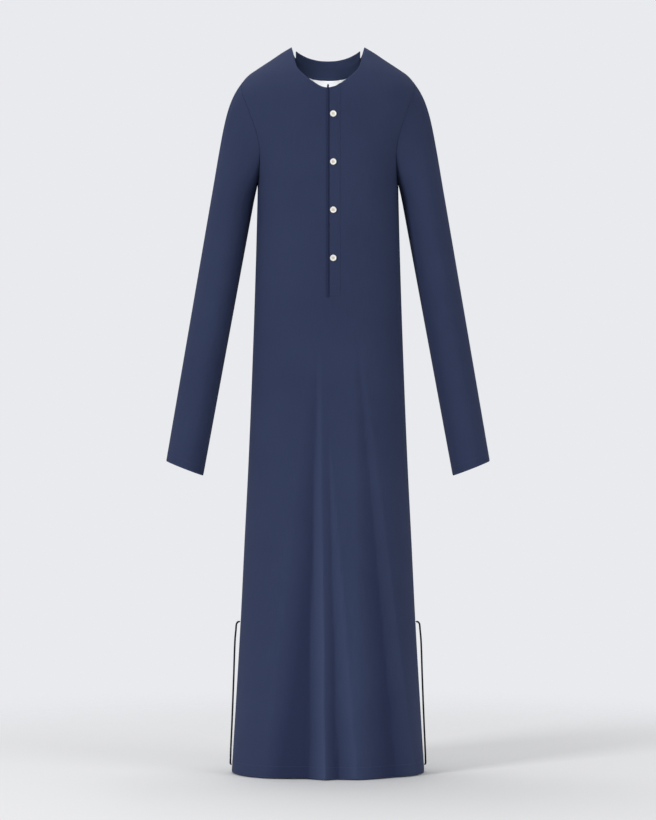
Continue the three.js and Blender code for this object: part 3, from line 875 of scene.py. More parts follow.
@dataclass(frozen=True)
class TwistFinish(Finish):
    """Piping or thread of twisted strands, whose crowns have the second colour and whose grooves
    are painted darker as shade.

    Attributes:
        pitch: millimetres along the piece between two strands.
        slant: millimetres along it for each millimetre round it.
        bump: depth between the strands in millimetres.
    """

    pitch: float = 1.1
    slant: float = 0.8
    bump: float = 0.15

    def shader(self, g: Graph) -> bpy.types.Node:
        """The strands' shader: their height is |sin(pi (along + slant * round) / pitch)|.

        Args:
            g: the material's graph.

        Returns:
            The shader's node.
        """
        uv = g.node("SeparateXYZ", {0: g.node("UVMap", uv_map="cloth").outputs["UV"]}).outputs
        turned = g.math("MULTIPLY_ADD", uv[0], self.slant, uv[1])
        strand = g.math("SINE", g.math("MULTIPLY", turned, math.pi / (self.pitch * MM)))
        crown = g.math("ABSOLUTE", strand)
        # painted shade: the grooves between the strands darker than their crowns
        tone = g.math("MULTIPLY_ADD", g.mottle(60.0), 0.5, g.math("MULTIPLY", crown, 0.7))
        bump = g.node("Bump", {"Strength": 0.7, "Distance": self.bump * MM, "Height": crown})
        return g.node("BsdfPrincipled", {
            "Base Color": g.blend(tone, self.colour, self.second),
            "Roughness": g.math("MULTIPLY_ADD", crown, -0.12, 0.68),
            "Normal": bump.outputs[0], "Specular IOR Level": 0.2,
        })


@dataclass(frozen=True)
class ButtonFinish(Finish):
    """Polished ivory, whose second colour is the slightly darker middle of a button.

    Attributes:
        roughness: the shader's roughness.
    """

    roughness: float = 0.24

    def shader(self, g: Graph) -> bpy.types.Node:
        """The ivory's shader: the mark "middle" and a soft cloud change its colour.

        Args:
            g: the material's graph.

        Returns:
            The shader's node.
        """
        cloud = g.mottle(220.0)
        tone = g.math("MULTIPLY_ADD", cloud, 0.3, g.mark("middle"))
        bump = g.node("Bump", {"Strength": 0.15, "Distance": 0.05 * MM, "Height": cloud})
        return g.node("BsdfPrincipled", {
            "Base Color": g.blend(tone, self.colour, self.second),
            "Roughness": g.math("MULTIPLY_ADD", cloud, 0.16, self.roughness),
            "Normal": bump.outputs[0], "Coat Weight": 0.5, "Coat Roughness": 0.12,
            "Subsurface Weight": 0.08, "Subsurface Scale": 0.5 * MM,
        })


# NAVY's folds carry painted light and shade through the mark relief
NAVY = ClothFinish("navy crepe", "body_cloth", rgb(34, 43, 74), rgb(60, 72, 104), relief=0.6)
# the band's navy is darker than the body's as painted shade inside the back neck
SHADED_NAVY = ClothFinish("dark navy crepe", "band_cloth", rgb(32, 42, 68), rgb(49, 61, 92))
PALE_COTTON = ClothFinish(
    "pale cotton", "half_moon_cloth", rgb(241, 244, 249), rgb(252, 253, 254), threads=1300.0,
    pebble=0.3, slub=0.8,
)
PIPING = TwistFinish("near-black piping", "piping", rgb(12, 15, 24), rgb(24, 29, 42))
NAVY_PIPING = TwistFinish("dark navy piping", "piping", rgb(20, 28, 60), rgb(36, 46, 82))
NAVY_THREAD = TwistFinish(
    "navy thread", "body_cloth", rgb(48, 57, 88), rgb(72, 83, 118), pitch=0.5, slant=0.6,
    bump=0.06,
)
CREAM_THREAD = TwistFinish(
    "cream thread", "button", rgb(214, 205, 182), rgb(240, 233, 216), pitch=0.4, slant=0.6,
    bump=0.05,
)
IVORY = ButtonFinish("ivory button", "button", rgb(253, 251, 246), rgb(238, 232, 216))


def dress(made: bpy.types.Object, finish: Finish, *stands_for: str) -> bpy.types.Object:
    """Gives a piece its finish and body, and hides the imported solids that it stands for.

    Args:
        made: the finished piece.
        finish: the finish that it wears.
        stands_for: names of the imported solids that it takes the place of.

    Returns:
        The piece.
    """
    made.data.materials.clear()
    made.data.materials.append(finish.material())
    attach(made, BODY)
    if stands_for:
        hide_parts(*stands_for)
    LOG.info("%s: %d faces", made.name, len(made.data.polygons))
    return made


@dataclass(frozen=True)
class Cut:
    """The cut of a piece before it was sewn, and what it hangs from.

    Attributes:
        width, length: of the rectangle that it is cut from, metres; not used.
        area: of the cut itself, square metres; not used.
        hangs_from: names of the nodes that carry it; not used.
    """

    width: float
    length: float
    area: float
    hangs_from: tuple[str, ...]


# ---------------------------------------------------------------- stitches


@dataclass
class Stitches:
    """A row of sewn stitches along a line on the cloth.

    Attributes:
        length: of each stitch.
        gap: between two stitches.
        radius: of the thread.
        sink: how far its ends dip under the cloth.
    """

    length: float = 2.7
    gap: float = 0.9
    radius: float = 0.26
    sink: float = 0.35

    def surface(self, path: Array, normals: Array) -> Surface:
        """Every stitch of a row as one small closed bar.

        A stitch's point at share t is middle + (t - 1/2) * length * along, raised along the
        normal by 0.6 of the radius less sink * (2 t - 1)^4. Its radius is 0 at both ends.

        Args:
            path: points of the line, on the cloth.
            normals: the cloth's direction outwards at each point.

        Returns:
            One grid for each stitch.
        """
        reach = arc_lengths(path, 0)
        count = max(1, int(reach[-1] // (self.length + self.gap)))
        middle = (np.arange(count) + 0.5) * reach[-1] / count

        def at(values: Array, where: Array) -> Array:
            """The values at distances along the path."""
            return np.stack([np.interp(where, reach, values[:, k]) for k in range(3)], -1)

        up = unit(at(normals, middle))
        along = unit(at(path, middle + 1) - at(path, middle - 1))
        side = np.cross(along, up)
        centre, up, along, side = (a[:, None, None] for a in (at(path, middle), up, along, side))
        t = np.array([0.0, 0.08, 0.3, 0.7, 0.92, 1.0])[:, None, None]
        thick = np.array([0.0, 0.7, 1.0, 1.0, 0.7, 0.0])[:, None, None] * self.radius
        spine = centre + (t - 0.5) * self.length * along
        spine = spine + (self.radius * 0.6 - self.sink * (2 * t - 1) ** 4) * up
        angle = np.linspace(0, 2 * math.pi, 6, endpoint=False)[:, None]
        ring = np.cos(angle) * side + np.sin(angle) * up
        return Surface(spine + thick * ring, turned=True, wraps=True)


# ---------------------------------------------------------------- panels


@dataclass
class PanelCloth:
    """The front or the back of the body, from its hem to its neckline and shoulder seams.

    A point of row r and column c is x = e(r) sin(lerp(a(c), t(c), s(r)^2)), where e is the
    half width of the row, a and t are the column's angles on the body and on the top edge,
    and s is the share of the top edge's shape that the row takes; z = z(r) + s(r)^2 times the
    rise of the top edge at that column; and y is the torso's depth at x and z.

    Attributes:
        facing: front or back.
        slit: half the angle of the opening cut in it, or 0.
        wall: thickness of the cloth.
        edge: how its edges roll in.
        skirt_rows, body_rows, armhole_rows: rows along the vents, from there to the underarm
            and beside the armhole.
        neck_cells, shoulder_cells: cells across half the neckline and one shoulder seam.
        crowding: how much the neckline's columns crowd towards its ends, 1 for not at all.
        seam_turn: the share of its Y that a normal keeps on the side edges.
    """

    facing: Facing
    slit: float = 0.0
    wall: float = CLOTH_WALL
    edge: Edge = Edge()
    skirt_rows: int = 62
    body_rows: int = 150
    armhole_rows: int = 46
    neck_cells: int = 7
    shoulder_cells: int = 10
    crowding: float = 1.7
    seam_turn: float = 0.2

    def columns(self, per_cell: int = 3) -> tuple[Array, Array]:
        """Where the columns lie, crowding at the side edges and at the opening.

        Args:
            per_cell: how many columns a cell is divided into.

        Returns:
            Each column's angle on the body and on the top edge.
        """
        cells = self.neck_cells + self.shoulder_cells
        near = np.array([0.06, 0.13, 0.22, 0.35, 0.55])
        place = np.arange(0, cells * per_cell + 1) / per_cell
        place = np.unique(np.concatenate([place, cells - near, near if self.slit else []]))
        body = lerp(self.slit, math.pi / 2, place / cells)
        left = np.clip(1 - place / self.neck_cells, 0, 1)
        neck = NECK_ANGLE * (1 - left**self.crowding)
        right = (place - self.neck_cells) / self.shoulder_cells
        top = np.where(right > 0, lerp(NECK_ANGLE, math.pi / 2, right), neck)
        top = np.maximum(top, self.slit)
        mirrored = slice(None, None if self.slit else 0, -1)
        return tuple(np.concatenate([-angle[mirrored], angle]) for angle in (body, top))

    def rows(self) -> tuple[Array, Array, Array]:
        """Where the rows lie, from the hem to the shoulder.

        Returns:
            Each row's height, the depth of its side edge and its share of the top edge.
        """
        skirt = np.linspace(HEM_Z, VENT_TOP_Z, self.skirt_rows)[1:]
        skirt = np.concatenate([HEM_Z + EDGE_ROWS, skirt[skirt > HEM_Z + EDGE_ROWS[-1] + 1]])
        body = np.linspace(VENT_TOP_Z, UNDERARM_Z, self.body_rows)[1:-1]
        straight = self.straight(np.concatenate([skirt, body]))
        armhole = self.armhole(np.linspace(0, math.pi, self.armhole_rows))
        return tuple(np.concatenate(pair) for pair in zip(straight, armhole))

    @staticmethod
    def straight(z: Array) -> tuple[Array, Array, Array]:
        """Rows below the underarm, whose side edges part only along the vents.

        Args:
            z: their heights.

        Returns:
            Each row's height, the depth of its side edge and its share of the top edge.
        """
        edge = VENT_SPREAD * np.clip((VENT_TOP_Z - z) / (VENT_TOP_Z - HEM_Z), 0, 1)
        return z, edge, np.zeros_like(z)

    @staticmethod
    def armhole(turn: Array) -> tuple[Array, Array, Array]:
        """Rows beside the armhole, whose front and back edges make an ellipse.

        Args:
            turn: each row's angle on it, from 0 at the underarm to pi at the shoulder.

        Returns:
            Each row's height, the depth of its side edge and its share of the top edge.
        """
        middle, reach = (TIP_Z + UNDERARM_Z) / 2, (TIP_Z - UNDERARM_Z) / 2
        return (middle - reach * np.cos(turn), ARMHOLE_HALF_DEPTH * np.sin(turn),
                np.sin(turn / 2))

    def points(self, rows: tuple[Array, Array, Array], columns: tuple[Array, Array]) -> Array:
        """The grid of the cloth's outer face, as the class says.

        Args:
            rows: each row's height, the depth of its side edge and its share of the top edge.
            columns: each column's angle on the body and on the top edge.

        Returns:
            Rows by columns by 3.
        """
        z, edge, share = (a[:, None] for a in rows)
        angle, top = (a[None, :] for a in columns)
        half = ring_reach(
            FORM.half_width(z), edge, FORM.depth[self.facing](z), FORM.power(z)
        )
        rise = FORM.top_height(self.facing, TIP_X * np.sin(top)) - TIP_Z
        x = half * np.sin(lerp(angle, top, share**2))
        height = z + share**2 * rise
        on_seam = (share == 1) & (np.abs(top) > NECK_ANGLE - 1e-6)
        y = np.where(on_seam, 0.0, FORM.depth_at(self.facing, x, height))
        return np.stack([x, self.facing.value * y, np.broadcast_to(height, x.shape)], axis=-1)

    def normals(self, points: Array) -> Array:
        """The cloth's outward directions, turned towards X along the two side edges.

        Args:
            points: a grid of the panel's outer face.

        Returns:
            A unit vector for each point.
        """
        normal = grid_normals(points) * -self.facing.value
        normal[:, [0, -1], 1] *= self.seam_turn
        return unit(normal)

    @staticmethod
    def edge_distance(points: Array) -> Array:
        """Millimetres along the cloth from each point to the nearest edge of its grid.

        Args:
            points: rows by columns by 3.

        Returns:
            The distance at each point.
        """
        across = arc_lengths(points, 1)
        along = arc_lengths(points, 0)
        sides = np.minimum(across, across[:, [-1]] - across)
        ends = np.minimum(along, along[[-1]] - along)
        return np.minimum(sides, ends)

    def build(self, name: str) -> bpy.types.Object:
        """The panel as a walled shell whose edges roll in.

        Args:
            name: the object's name.

        Returns:
            The object.
        """
        rows, columns = self.rows(), self.columns()
        points = self.points(rows, columns)
        distance = self.edge_distance(points)
        # painted light and shade on the folds, passed to the material as a mark
        relief = FORM.painted_light_on_folds(self.facing, points[..., 0], points[..., 2])
        missing = None
        if self.slit:
            missing = np.zeros((len(rows[0]) - 1, len(columns[0]) - 1), bool)
            missing[rows[0][:-1] > PLACKET_END_Z, len(columns[0]) // 2 - 1] = True
        rolled = points - self.edge.sink(distance)[..., None] * self.normals(points)
        surface = Surface(rolled, self.facing is Facing.BACK, missing=missing,
                          marks=self.edge.marks(distance, relief))
        return walled(name, surface, self.wall)


# ---------------------------------------------------------------- sleeves


@dataclass(frozen=True)
class SleeveEnd:
    """One end of the straight sleeve: its outer and inner edge and half its depth."""

    outer: tuple[float, float]
    inner: tuple[float, float]
    half_depth: float


@dataclass
class SleeveCloth:
    """A set-in sleeve: a cap that leaves the armhole and turns down, and a straight tube.

    The cap is a cubic from each armhole point p to the tube's ring q, u going from 0 to 1:
    p + (q - p) u^2 (3 - 2 u) + start_pull d u (1 - u)^2 out - end_pull d u^2 (1 - u) down,
    where d is the distance from p to q.

    Attributes:
        side: the wearer's left or right.
        top: the tube's end below the armpit.
        cuff: the tube's lower end.
        start_pull, end_pull: as above.
        under_lap: how far the cap starts inside the armhole's edge.
        wall: thickness of the cloth.
        edge: how its edges roll in.
        cap_rows, tube_rows: of the grid.
        tube_length: of the tube, to the nearest ten.
    """

    side: Side
    top: SleeveEnd = SleeveEnd((234, -305), (150.3, -320), 53)
    cuff: SleeveEnd = SleeveEnd((323.6, -827), (249.4, -856), 41)
    start_pull: float = 0.75
    end_pull: float = 1.35
    under_lap: float = 0.6
    wall: float = CLOTH_WALL
    edge: Edge = Edge()
    cap_rows: int = 52
    tube_rows: int = 120
    tube_length: float = 530.0

    def stations(self) -> tuple[Array, Array]:
        """Where the left sleeve starts, from the armhole's top round its front and its back.

        Returns:
            The points, and the way out of the panel at each: the cloth's normal crossed with
            the armhole's edge, turned away from the panel.
        """
        near_edge = np.array([math.pi / 2 - 0.09, math.pi / 2])
        found = []
        for facing in Facing:
            panel = PanelCloth(facing)
            rows = panel.armhole(np.linspace(0, math.pi, panel.armhole_rows))
            grid = panel.points(rows, (near_edge, near_edge))
            rim = grid[:, 1].copy()
            leaving = unit(rim - grid[:, 0])
            leaving[0] = (0, 0, 1)
            edge = np.gradient(rim, axis=0)
            edge[[0, -1]] = (0, 1, 0)
            normal = unit(np.cross(leaving, edge))
            out = unit(np.cross(normal, edge))
            out *= np.sign((out * leaving).sum(-1, keepdims=True))
            rim[[0, -1], 1] = 0
            found.append((rim - self.under_lap * out, out))
        return tuple(np.concatenate([front[::-1], back[1:-1]]) for front, back in zip(*found))

    def ring(self, share: Array, sides: int) -> Array:
        """Rings of the straight tube: ellipses from its outer to its inner edge.

        Args:
            share: how far down the tube each ring is, 1 at the cuff.
            sides: points of each ring.

        Returns:
            Rings by sides by 3.
        """
        share = np.asarray(share, float)[:, None, None]
        outer, inner = (
            lerp(np.array([start[0], 0.0, start[1]]), np.array([end[0], 0.0, end[1]]), share)
            for start, end in zip((self.top.outer, self.top.inner),
                                  (self.cuff.outer, self.cuff.inner))
        )
        centre = (outer + inner) / 2
        depth = lerp(self.top.half_depth, self.cuff.half_depth, share)
        turn = np.linspace(0, 2 * math.pi, sides, endpoint=False)[None, :, None]
        forward = np.array([0.0, -1.0, 0.0])
        return centre + (outer - centre) * np.cos(turn) + depth * np.sin(turn) * forward

    def points(self) -> Array:
        """The grid of the left sleeve's outer face, from the armhole to the cuff.

        Returns:
            Rows by columns by 3.
        """
        start, out = self.stations()
        sides = len(start)
        top, cuff = self.ring([0.0, 1.0], sides)
        down = unit((cuff[0] - top[0]) + (cuff[sides // 2] - top[sides // 2]))
        share = (1 - np.cos(2 * math.pi * np.arange(sides) / sides))[:, None] / 2
        tangent = unit(lerp(out, down, share))
        u = np.concatenate([[0, 0.008, 0.018, 0.032],
                            np.linspace(0, 1, self.cap_rows)[2:-1]])[:, None, None]
        reach = np.linalg.norm(top - start, axis=-1)[None, :, None]
        cap = lerp(start[None], top[None], smooth_step(u))
        cap = cap + self.start_pull * reach * u * (1 - u) ** 2 * tangent
        cap = cap - self.end_pull * reach * u**2 * (1 - u) * down
        tail = 1 - EDGE_ROWS[::-1] / self.tube_length
        tube = np.linspace(0, 1, self.tube_rows)
        tube = np.concatenate([tube[tube < tail[0] - 0.002], tail])
        return np.concatenate([cap, self.ring(tube, sides)])

    @staticmethod
    def normals(points: Array) -> Array:
        """Outward directions on a grid of the left sleeve."""
        normal = grid_normals(points, wraps=True)
        return normal * (1 if normal[len(points) // 2, 0, 0] > 0 else -1)

    def build(self, name: str) -> bpy.types.Object:
        """The sleeve as a walled tube, open at both ends, whose edges roll in.

        Args:
            name: the object's name.

        Returns:
            The object.
        """
        points = self.points()
        along = arc_lengths(points, 0)
        distance = np.minimum(along, along[[-1]] - along)
        points = points - self.edge.sink(distance)[..., None] * self.normals(points)
        return walled(name, self.tube_surface(points, self.edge.marks(distance)), self.wall)

    def tube_surface(self, points: Array, marks: dict[str, Array] | None = None) -> Surface:
        """A grid of the left sleeve as a surface of this one.

        Args:
            points: rows by columns by 3.
            marks: the surface's marks, or None.

        Returns:
            The surface, mirrored for the right sleeve.
        """
        mirrored = points * [self.side.value, 1, 1]
        return Surface(mirrored, self.side is Side.RIGHT, True, marks=marks or {})

    def above_cuff(self, above: Array) -> Array:
        """The share down the tube of places this many millimetres above the cuff."""
        return 1 - above / math.dist(self.top.outer, self.cuff.outer)

    def ring_path(self, above: float, count: int = 241) -> tuple[Array, Array]:
        """A closed line round the tube.

        Args:
            above: millimetres above the cuff.
            count: of its points, the last of which is the first again.

        Returns:
            The line and the cloth's outward directions on it.
        """
        rings = self.ring(self.above_cuff(above + np.array([1.0, 0.0, -1.0])), count - 1)
        rings = np.concatenate([rings, rings[:, :1]], axis=1)
        normals = grid_normals(rings)
        normals *= 1 if normals[1, 0, 0] > 0 else -1
        mirror = np.array([self.side.value, 1, 1])
        return rings[1] * mirror, normals[1] * mirror


# ---------------------------------------------------------------- facings and hems


@dataclass
class Hems:
    """The turned-up cloth inside the hem and the cuffs, and the stitches that hold it.

    Attributes:
        hem_depth, cuff_depth: how far each is turned up.
        foot: how far above the edge the turned-up cloth starts.
        lift: how far inside the outer face it lies.
        wall: its thickness.
        line_depth: from its upper edge down to the stitches.
        stitches: the stitches.
    """

    hem_depth: float = 26.0
    cuff_depth: float = 20.0
    foot: float = 1.2
    lift: float = 1.35
    wall: float = 0.8
    line_depth: float = 3.0
    stitches: Stitches = field(default_factory=Stitches)

    def panel_facing(self, name: str, panel: PanelCloth) -> bpy.types.Object:
        """The hem turned up inside a panel.

        Args:
            name: the object's name.
            panel: the panel.

        Returns:
            The object.
        """
        rows = panel.straight(HEM_Z + np.linspace(self.foot, self.hem_depth, 9))
        angle = np.linspace(-1, 1, 121) * (math.pi / 2 - 0.02)
        points = panel.points(rows, (angle, angle))
        points = points - self.lift * panel.normals(points)
        return walled(name, Surface(points, panel.facing is Facing.BACK), self.wall)

    def cuff_facing(self, name: str, sleeve: SleeveCloth) -> bpy.types.Object:
        """The hem turned up inside a cuff.

        Args:
            name: the object's name.
            sleeve: the sleeve.

        Returns:
            The object.
        """
        share = sleeve.above_cuff(np.linspace(self.cuff_depth, self.foot, 8))
        points = sleeve.ring(share, 90)
        points = points - self.lift * sleeve.normals(points)
        return walled(name, sleeve.tube_surface(points), self.wall)

    def panel_line(self, panel: PanelCloth) -> Surface:
        """Stitches along the top of a panel's hem.

        Args:
            panel: the panel.

        Returns:
            Their surface.
        """
        line_z = HEM_Z + self.hem_depth - self.line_depth
        rows = panel.straight(line_z + np.array([-1.0, 0.0, 1.0]))
        angle = np.linspace(-1, 1, 301) * (math.pi / 2 - 0.03)
        points = panel.points(rows, (angle, angle))
        return self.stitches.surface(points[1], panel.normals(points)[1])

    def cuff_line(self, sleeve: SleeveCloth) -> Surface:
        """Stitches round the top of a cuff's hem."""
        return self.stitches.surface(*sleeve.ring_path(self.cuff_depth - self.line_depth))


# ---------------------------------------------------------------- placket and buttons


@dataclass
class Placket:
    """The front opening: an upper strip with its piping, and a strip inside that closes it.

    Attributes:
        start, width: edges of the upper strip, from the middle line.
        lift: of its inner face above the front panel.
        wall: its thickness.
        edge: how its edges roll in.
        under_left, under_right: edges of the strip inside.
        under_past_end: how far below the opening it ends.
        under_lift: of its outer face above the front panel's, which is less than 0: inside it.
        under_wall: its thickness.
        under_edge: how its edges roll in.
        piping_half_width, piping_height: section of the piping.
        piping_lift: of the piping above the front panel.
        piping_above, piping_past_end: how far past the neckline and the opening it reaches.
        line_inset: of the stitches from the upper strip's edges.
        second_line: height of the second row of stitches across its foot.
    """

    start: float = 2.1
    width: float = 24.0
    lift: float = 0.12
    wall: float = 0.7
    edge: Edge = Edge(0.5, 0.9, 1.6)
    under_left: float = -12.0
    under_right: float = 14.0
    under_past_end: float = 12.0
    under_lift: float = -1.9
    under_wall: float = 1.0
    under_edge: Edge = Edge(0.2, 0.9, 1.6)
    piping_half_width: float = 1.8
    piping_height: float = 2.2
    piping_lift: float = 0.3
    piping_above: float = 7.0
    piping_past_end: float = 3.0
    line_inset: float = 2.2
    second_line: float = 20.0

    @staticmethod
    def strip(left: float, right: float, foot: float, lift: float, edge: Edge) -> Surface:
        """A strip on the front panel, from its foot to the neckline.

        Args:
            left, right: its edges.
            foot: height of its lower end.
            lift: of its outer face above the front panel's.
            edge: how its edges roll in.

        Returns:
            The outer face.
        """
        near = np.array([0, 0.5, 1.1, 2.0])
        x = np.concatenate([left + near, np.linspace(left + 3, right - 3, 9), right - near[::-1]])
        x = x[None, :]
        top = FORM.top_height(Facing.FRONT, x)
        share = np.linspace(0, 1, 120)[:, None]
        share = np.concatenate([near[:3, None] / 400, share[1:-1], 1 - near[2::-1, None] / 400])
        z = foot + share * (top - foot)
        across = np.minimum(x - left, right - x)
        inwards = np.minimum(across, np.minimum(z - foot, top - z))
        points = FORM.skin(Facing.FRONT, x, z, lift - edge.sink(inwards))
        return Surface(points, marks=edge.marks(inwards))

    def over(self) -> bpy.types.Object:
        """The upper strip."""
        face = self.strip(self.start, self.width, PLACKET_END_Z, self.lift + self.wall, self.edge)
        return walled("placket_upper_strip", face, self.wall)

    def under(self) -> bpy.types.Object:
        """The strip inside the opening.

        Returns:
            The object.
        """
        foot = PLACKET_END_Z - self.under_past_end
        face = self.strip(self.under_left, self.under_right, foot, self.under_lift, self.under_edge)
        return walled("placket_under_strip", face, self.under_wall)

    def piping(self) -> bpy.types.Object:
        """The oval piping along the opening, which ends a little above the neckline.

        Returns:
            The object.
        """
        neck = float(FORM.top_height(Facing.FRONT, 0.0))
        z = np.linspace(PLACKET_END_Z - self.piping_past_end, neck, 200)
        half_height = self.piping_height / 2
        path = FORM.skin(Facing.FRONT, np.zeros_like(z), z, self.piping_lift + half_height)
        beyond = unit(path[-1] - path[-2]) * np.linspace(0.5, self.piping_above, 12)[:, None]
        path = np.concatenate([path, path[-1] + beyond])
        foot = [path[:1] + [[0, 0, rise]] for rise in (0.0, 0.4, 0.9, 1.5)]
        path = np.concatenate([*foot, path[1:]])
        path = path[np.argsort(path[:, 2], kind="stable")]
        radii = round_ends(len(path), self.piping_half_width)
        flatness = half_height / self.piping_half_width
        surface = bar_surface(path, radii, 16, np.array([0.0, 1.0, 0.0]), flatness)
        return mesh_object("placket_edge_piping", [surface], True)

    def lines(self, stitches: Stitches) -> list[Surface]:
        """Stitches down the strip's two long edges and twice across its foot.

        Args:
            stitches: the stitches.

        Returns:
            A surface for each row.
        """
        edges = (self.start + self.line_inset, self.width - self.line_inset)
        low = PLACKET_END_Z + self.line_inset
        found = []
        for x in edges:
            neck = float(FORM.top_height(Facing.FRONT, x))
            z = np.linspace(low, neck - 3, 160)
            found.append((np.full_like(z, x), z))
        x = np.linspace(*edges, 20)
        found += [(x, np.full_like(x, z)) for z in (low, PLACKET_END_Z + self.second_line)]
        return [
            stitches.surface(FORM.skin(Facing.FRONT, x, z, self.lift + self.wall),
                             FORM.outward(Facing.FRONT, x, z))
            for x, z in found
        ]


@dataclass
class ButtonRow:
    """Four-hole buttons, fastened on the upper strip, their thread and their buttonholes.

    Attributes:
        x: of the row.
        first_z: of the top button.
        pitch: between two buttons.
        count: of the buttons.
        radius, height: of a button.
        lift: of a button's back above the front panel.
        dish: depth of the face's dish over the button's height.
        rim: radius of the dish over the button's.
        round_off: how far the rim falls to its outer edge, over the button's height.
        hole_offset: of a hole's middle from the button's, along each axis.
        hole_radius, hole_depth: of a hole.
        sides: corners of a button's rings.
    """

    x: float = 10.3
    first_z: float = -142.7
    pitch: float = 94.6
    count: int = 4
    radius: float = 6.3
    height: float = 2.6
    lift: float = 1.5
    dish: float = 0.36
    rim: float = 0.84
    round_off: float = 0.42
    hole_offset: float = 1.3
    hole_radius: float = 0.85
    hole_depth: float = 1.25
    sides: int = 96

    def frame_at(self, number: int) -> tuple[Array, Array]:
        """A button's own frame.

        Args:
            number: of the button, 0 for the top one.

        Returns:
            The middle of its back and its three axes, the last one out of the cloth.
        """
        x, z = np.array(self.x), np.array(self.first_z - number * self.pitch)
        out = FORM.outward(Facing.FRONT, x, z)
        right = unit(np.cross([0.0, 0.0, -1.0], out))
        up = np.cross(out, right)
        return FORM.skin(Facing.FRONT, x, z, self.lift), np.stack([right, up, out])

    def placed(self, local: Array, number: int) -> Array:
        """Points of a button's own frame, set on the garment."""
        middle, axes = self.frame_at(number)
        return middle + local @ axes

    def face_height(self, radius: Array) -> Array:
        """Height of the button's face above its back: a dish inside a rounded rim.

        With r the radius over the button's and s the smooth step, it is the button's height
        times 1 - dish s((rim - r) / 0.2) inside the rim, and outside it times
        1 - round_off ((r - 0.86) / 0.14)^2.

        Args:
            radius: places on the face.

        Returns:
            The height at each place.
        """
        r = radius / self.radius
        inside = 1 - self.dish * smooth_step((self.rim - r) / 0.2)
        shoulder = 1 - np.clip((r - 0.86) / 0.14, 0, 1) ** 2 * self.round_off
        return self.height * np.where(r < self.rim, inside, shoulder)

    def button(self, number: int) -> bpy.types.Object:
        """One button as a closed surface of revolution, its four holes as pits in the face.

        Each pit is hole_depth * (1 - s(d)), where d is the distance from the nearest hole's
        middle over its radius and s is a smooth step from 0.75 to 1.1. The mark "middle" goes
        from 1 in the middle of the face to 0 at its rim.

        Args:
            number: of the button, 0 for the top one.

        Returns:
            The object.
        """
        inside = np.linspace(0, 0.97 * self.radius, 58)
        outline_r = np.concatenate([[0.0], np.linspace(0.5, 0.84, 4) * self.radius,
                                    [0.93 * self.radius, 0.985 * self.radius, self.radius,
                                     self.radius, 0.992 * self.radius], inside[::-1]])
        outline_z = np.concatenate([np.zeros(5), [0.06, 0.3, 0.8, 1.25, 1.45],
                                    self.face_height(inside[::-1])])
        turn = np.linspace(0, 2 * math.pi, self.sides, endpoint=False)
        radius, turn = np.meshgrid(outline_r, turn, indexing="ij")
        x, y = radius * np.cos(turn), radius * np.sin(turn)
        far = np.hypot(np.abs(x) - self.hole_offset, np.abs(y) - self.hole_offset)
        pit = self.hole_depth * (1 - smooth_step((far / self.hole_radius - 0.75) / 0.35))
        is_face = (np.arange(len(outline_r)) >= len(outline_r) - len(inside))[:, None]
        height = outline_z[:, None] - np.where(is_face, pit, 0.0)
        middle = np.clip(1.15 - radius / (0.62 * self.radius), 0, 1) * is_face
        local = np.stack([x, y, height], axis=-1)
        surface = Surface(self.placed(local, number), wraps=True, marks={"middle": middle})
        return mesh_object(f"button_{number + 1}_ivory", [surface], True)

    def thread(self) -> bpy.types.Object:
        """The thread through the holes: two bars of three strands on each button.

        Returns:
            The object.
        """
        surfaces = []
        share = np.linspace(-1, 1, 13)
        base = self.face_height(np.array(0.0))
        for number in range(self.count):
            out = self.frame_at(number)[1][2]
            for bar in (-1, 1):
                for strand in (-0.42, 0.0, 0.42):
                    high = base + 0.3 - 1.3 * np.abs(share) ** 5 + 0.12 * (1 - abs(strand))
                    local = np.stack([np.full(13, bar * self.hole_offset + strand),
                                      1.12 * self.hole_offset * share, high], axis=-1)
                    path = self.placed(local, number)
                    surfaces.append(bar_surface(path, round_ends(13, 0.24, 2), 8, out))
        return mesh_object("button_threads", surfaces, True)

    def buttonholes(self, lift: float) -> bpy.types.Object:
        """A corded oval round each buttonhole, just longer than its button.

        Its line is (a sin t |sin t|^-0.6, b cos t |cos t|^-0.2), a long slot with round ends.

        Args:
            lift: of the strip's face above the front panel.

        Returns:
            The object.
        """
        turn = np.linspace(0, 2 * math.pi, 96, endpoint=False)
        across = 1.15 * np.sign(np.sin(turn)) * np.abs(np.sin(turn)) ** 0.4
        down = 8.3 * np.sign(np.cos(turn)) * np.abs(np.cos(turn)) ** 0.8
        local = np.stack([across, down, np.full(96, lift - self.lift + 0.12)], axis=-1)
        surfaces = []
        for number in range(self.count):
            out = self.frame_at(number)[1][2]
            path = self.placed(local, number)
            surfaces.append(bar_surface(path, np.full(96, 0.55), 8, out, 0.7, loop=True))
        return mesh_object("buttonhole_stitching", surfaces, True)


# ---------------------------------------------------------------- neck


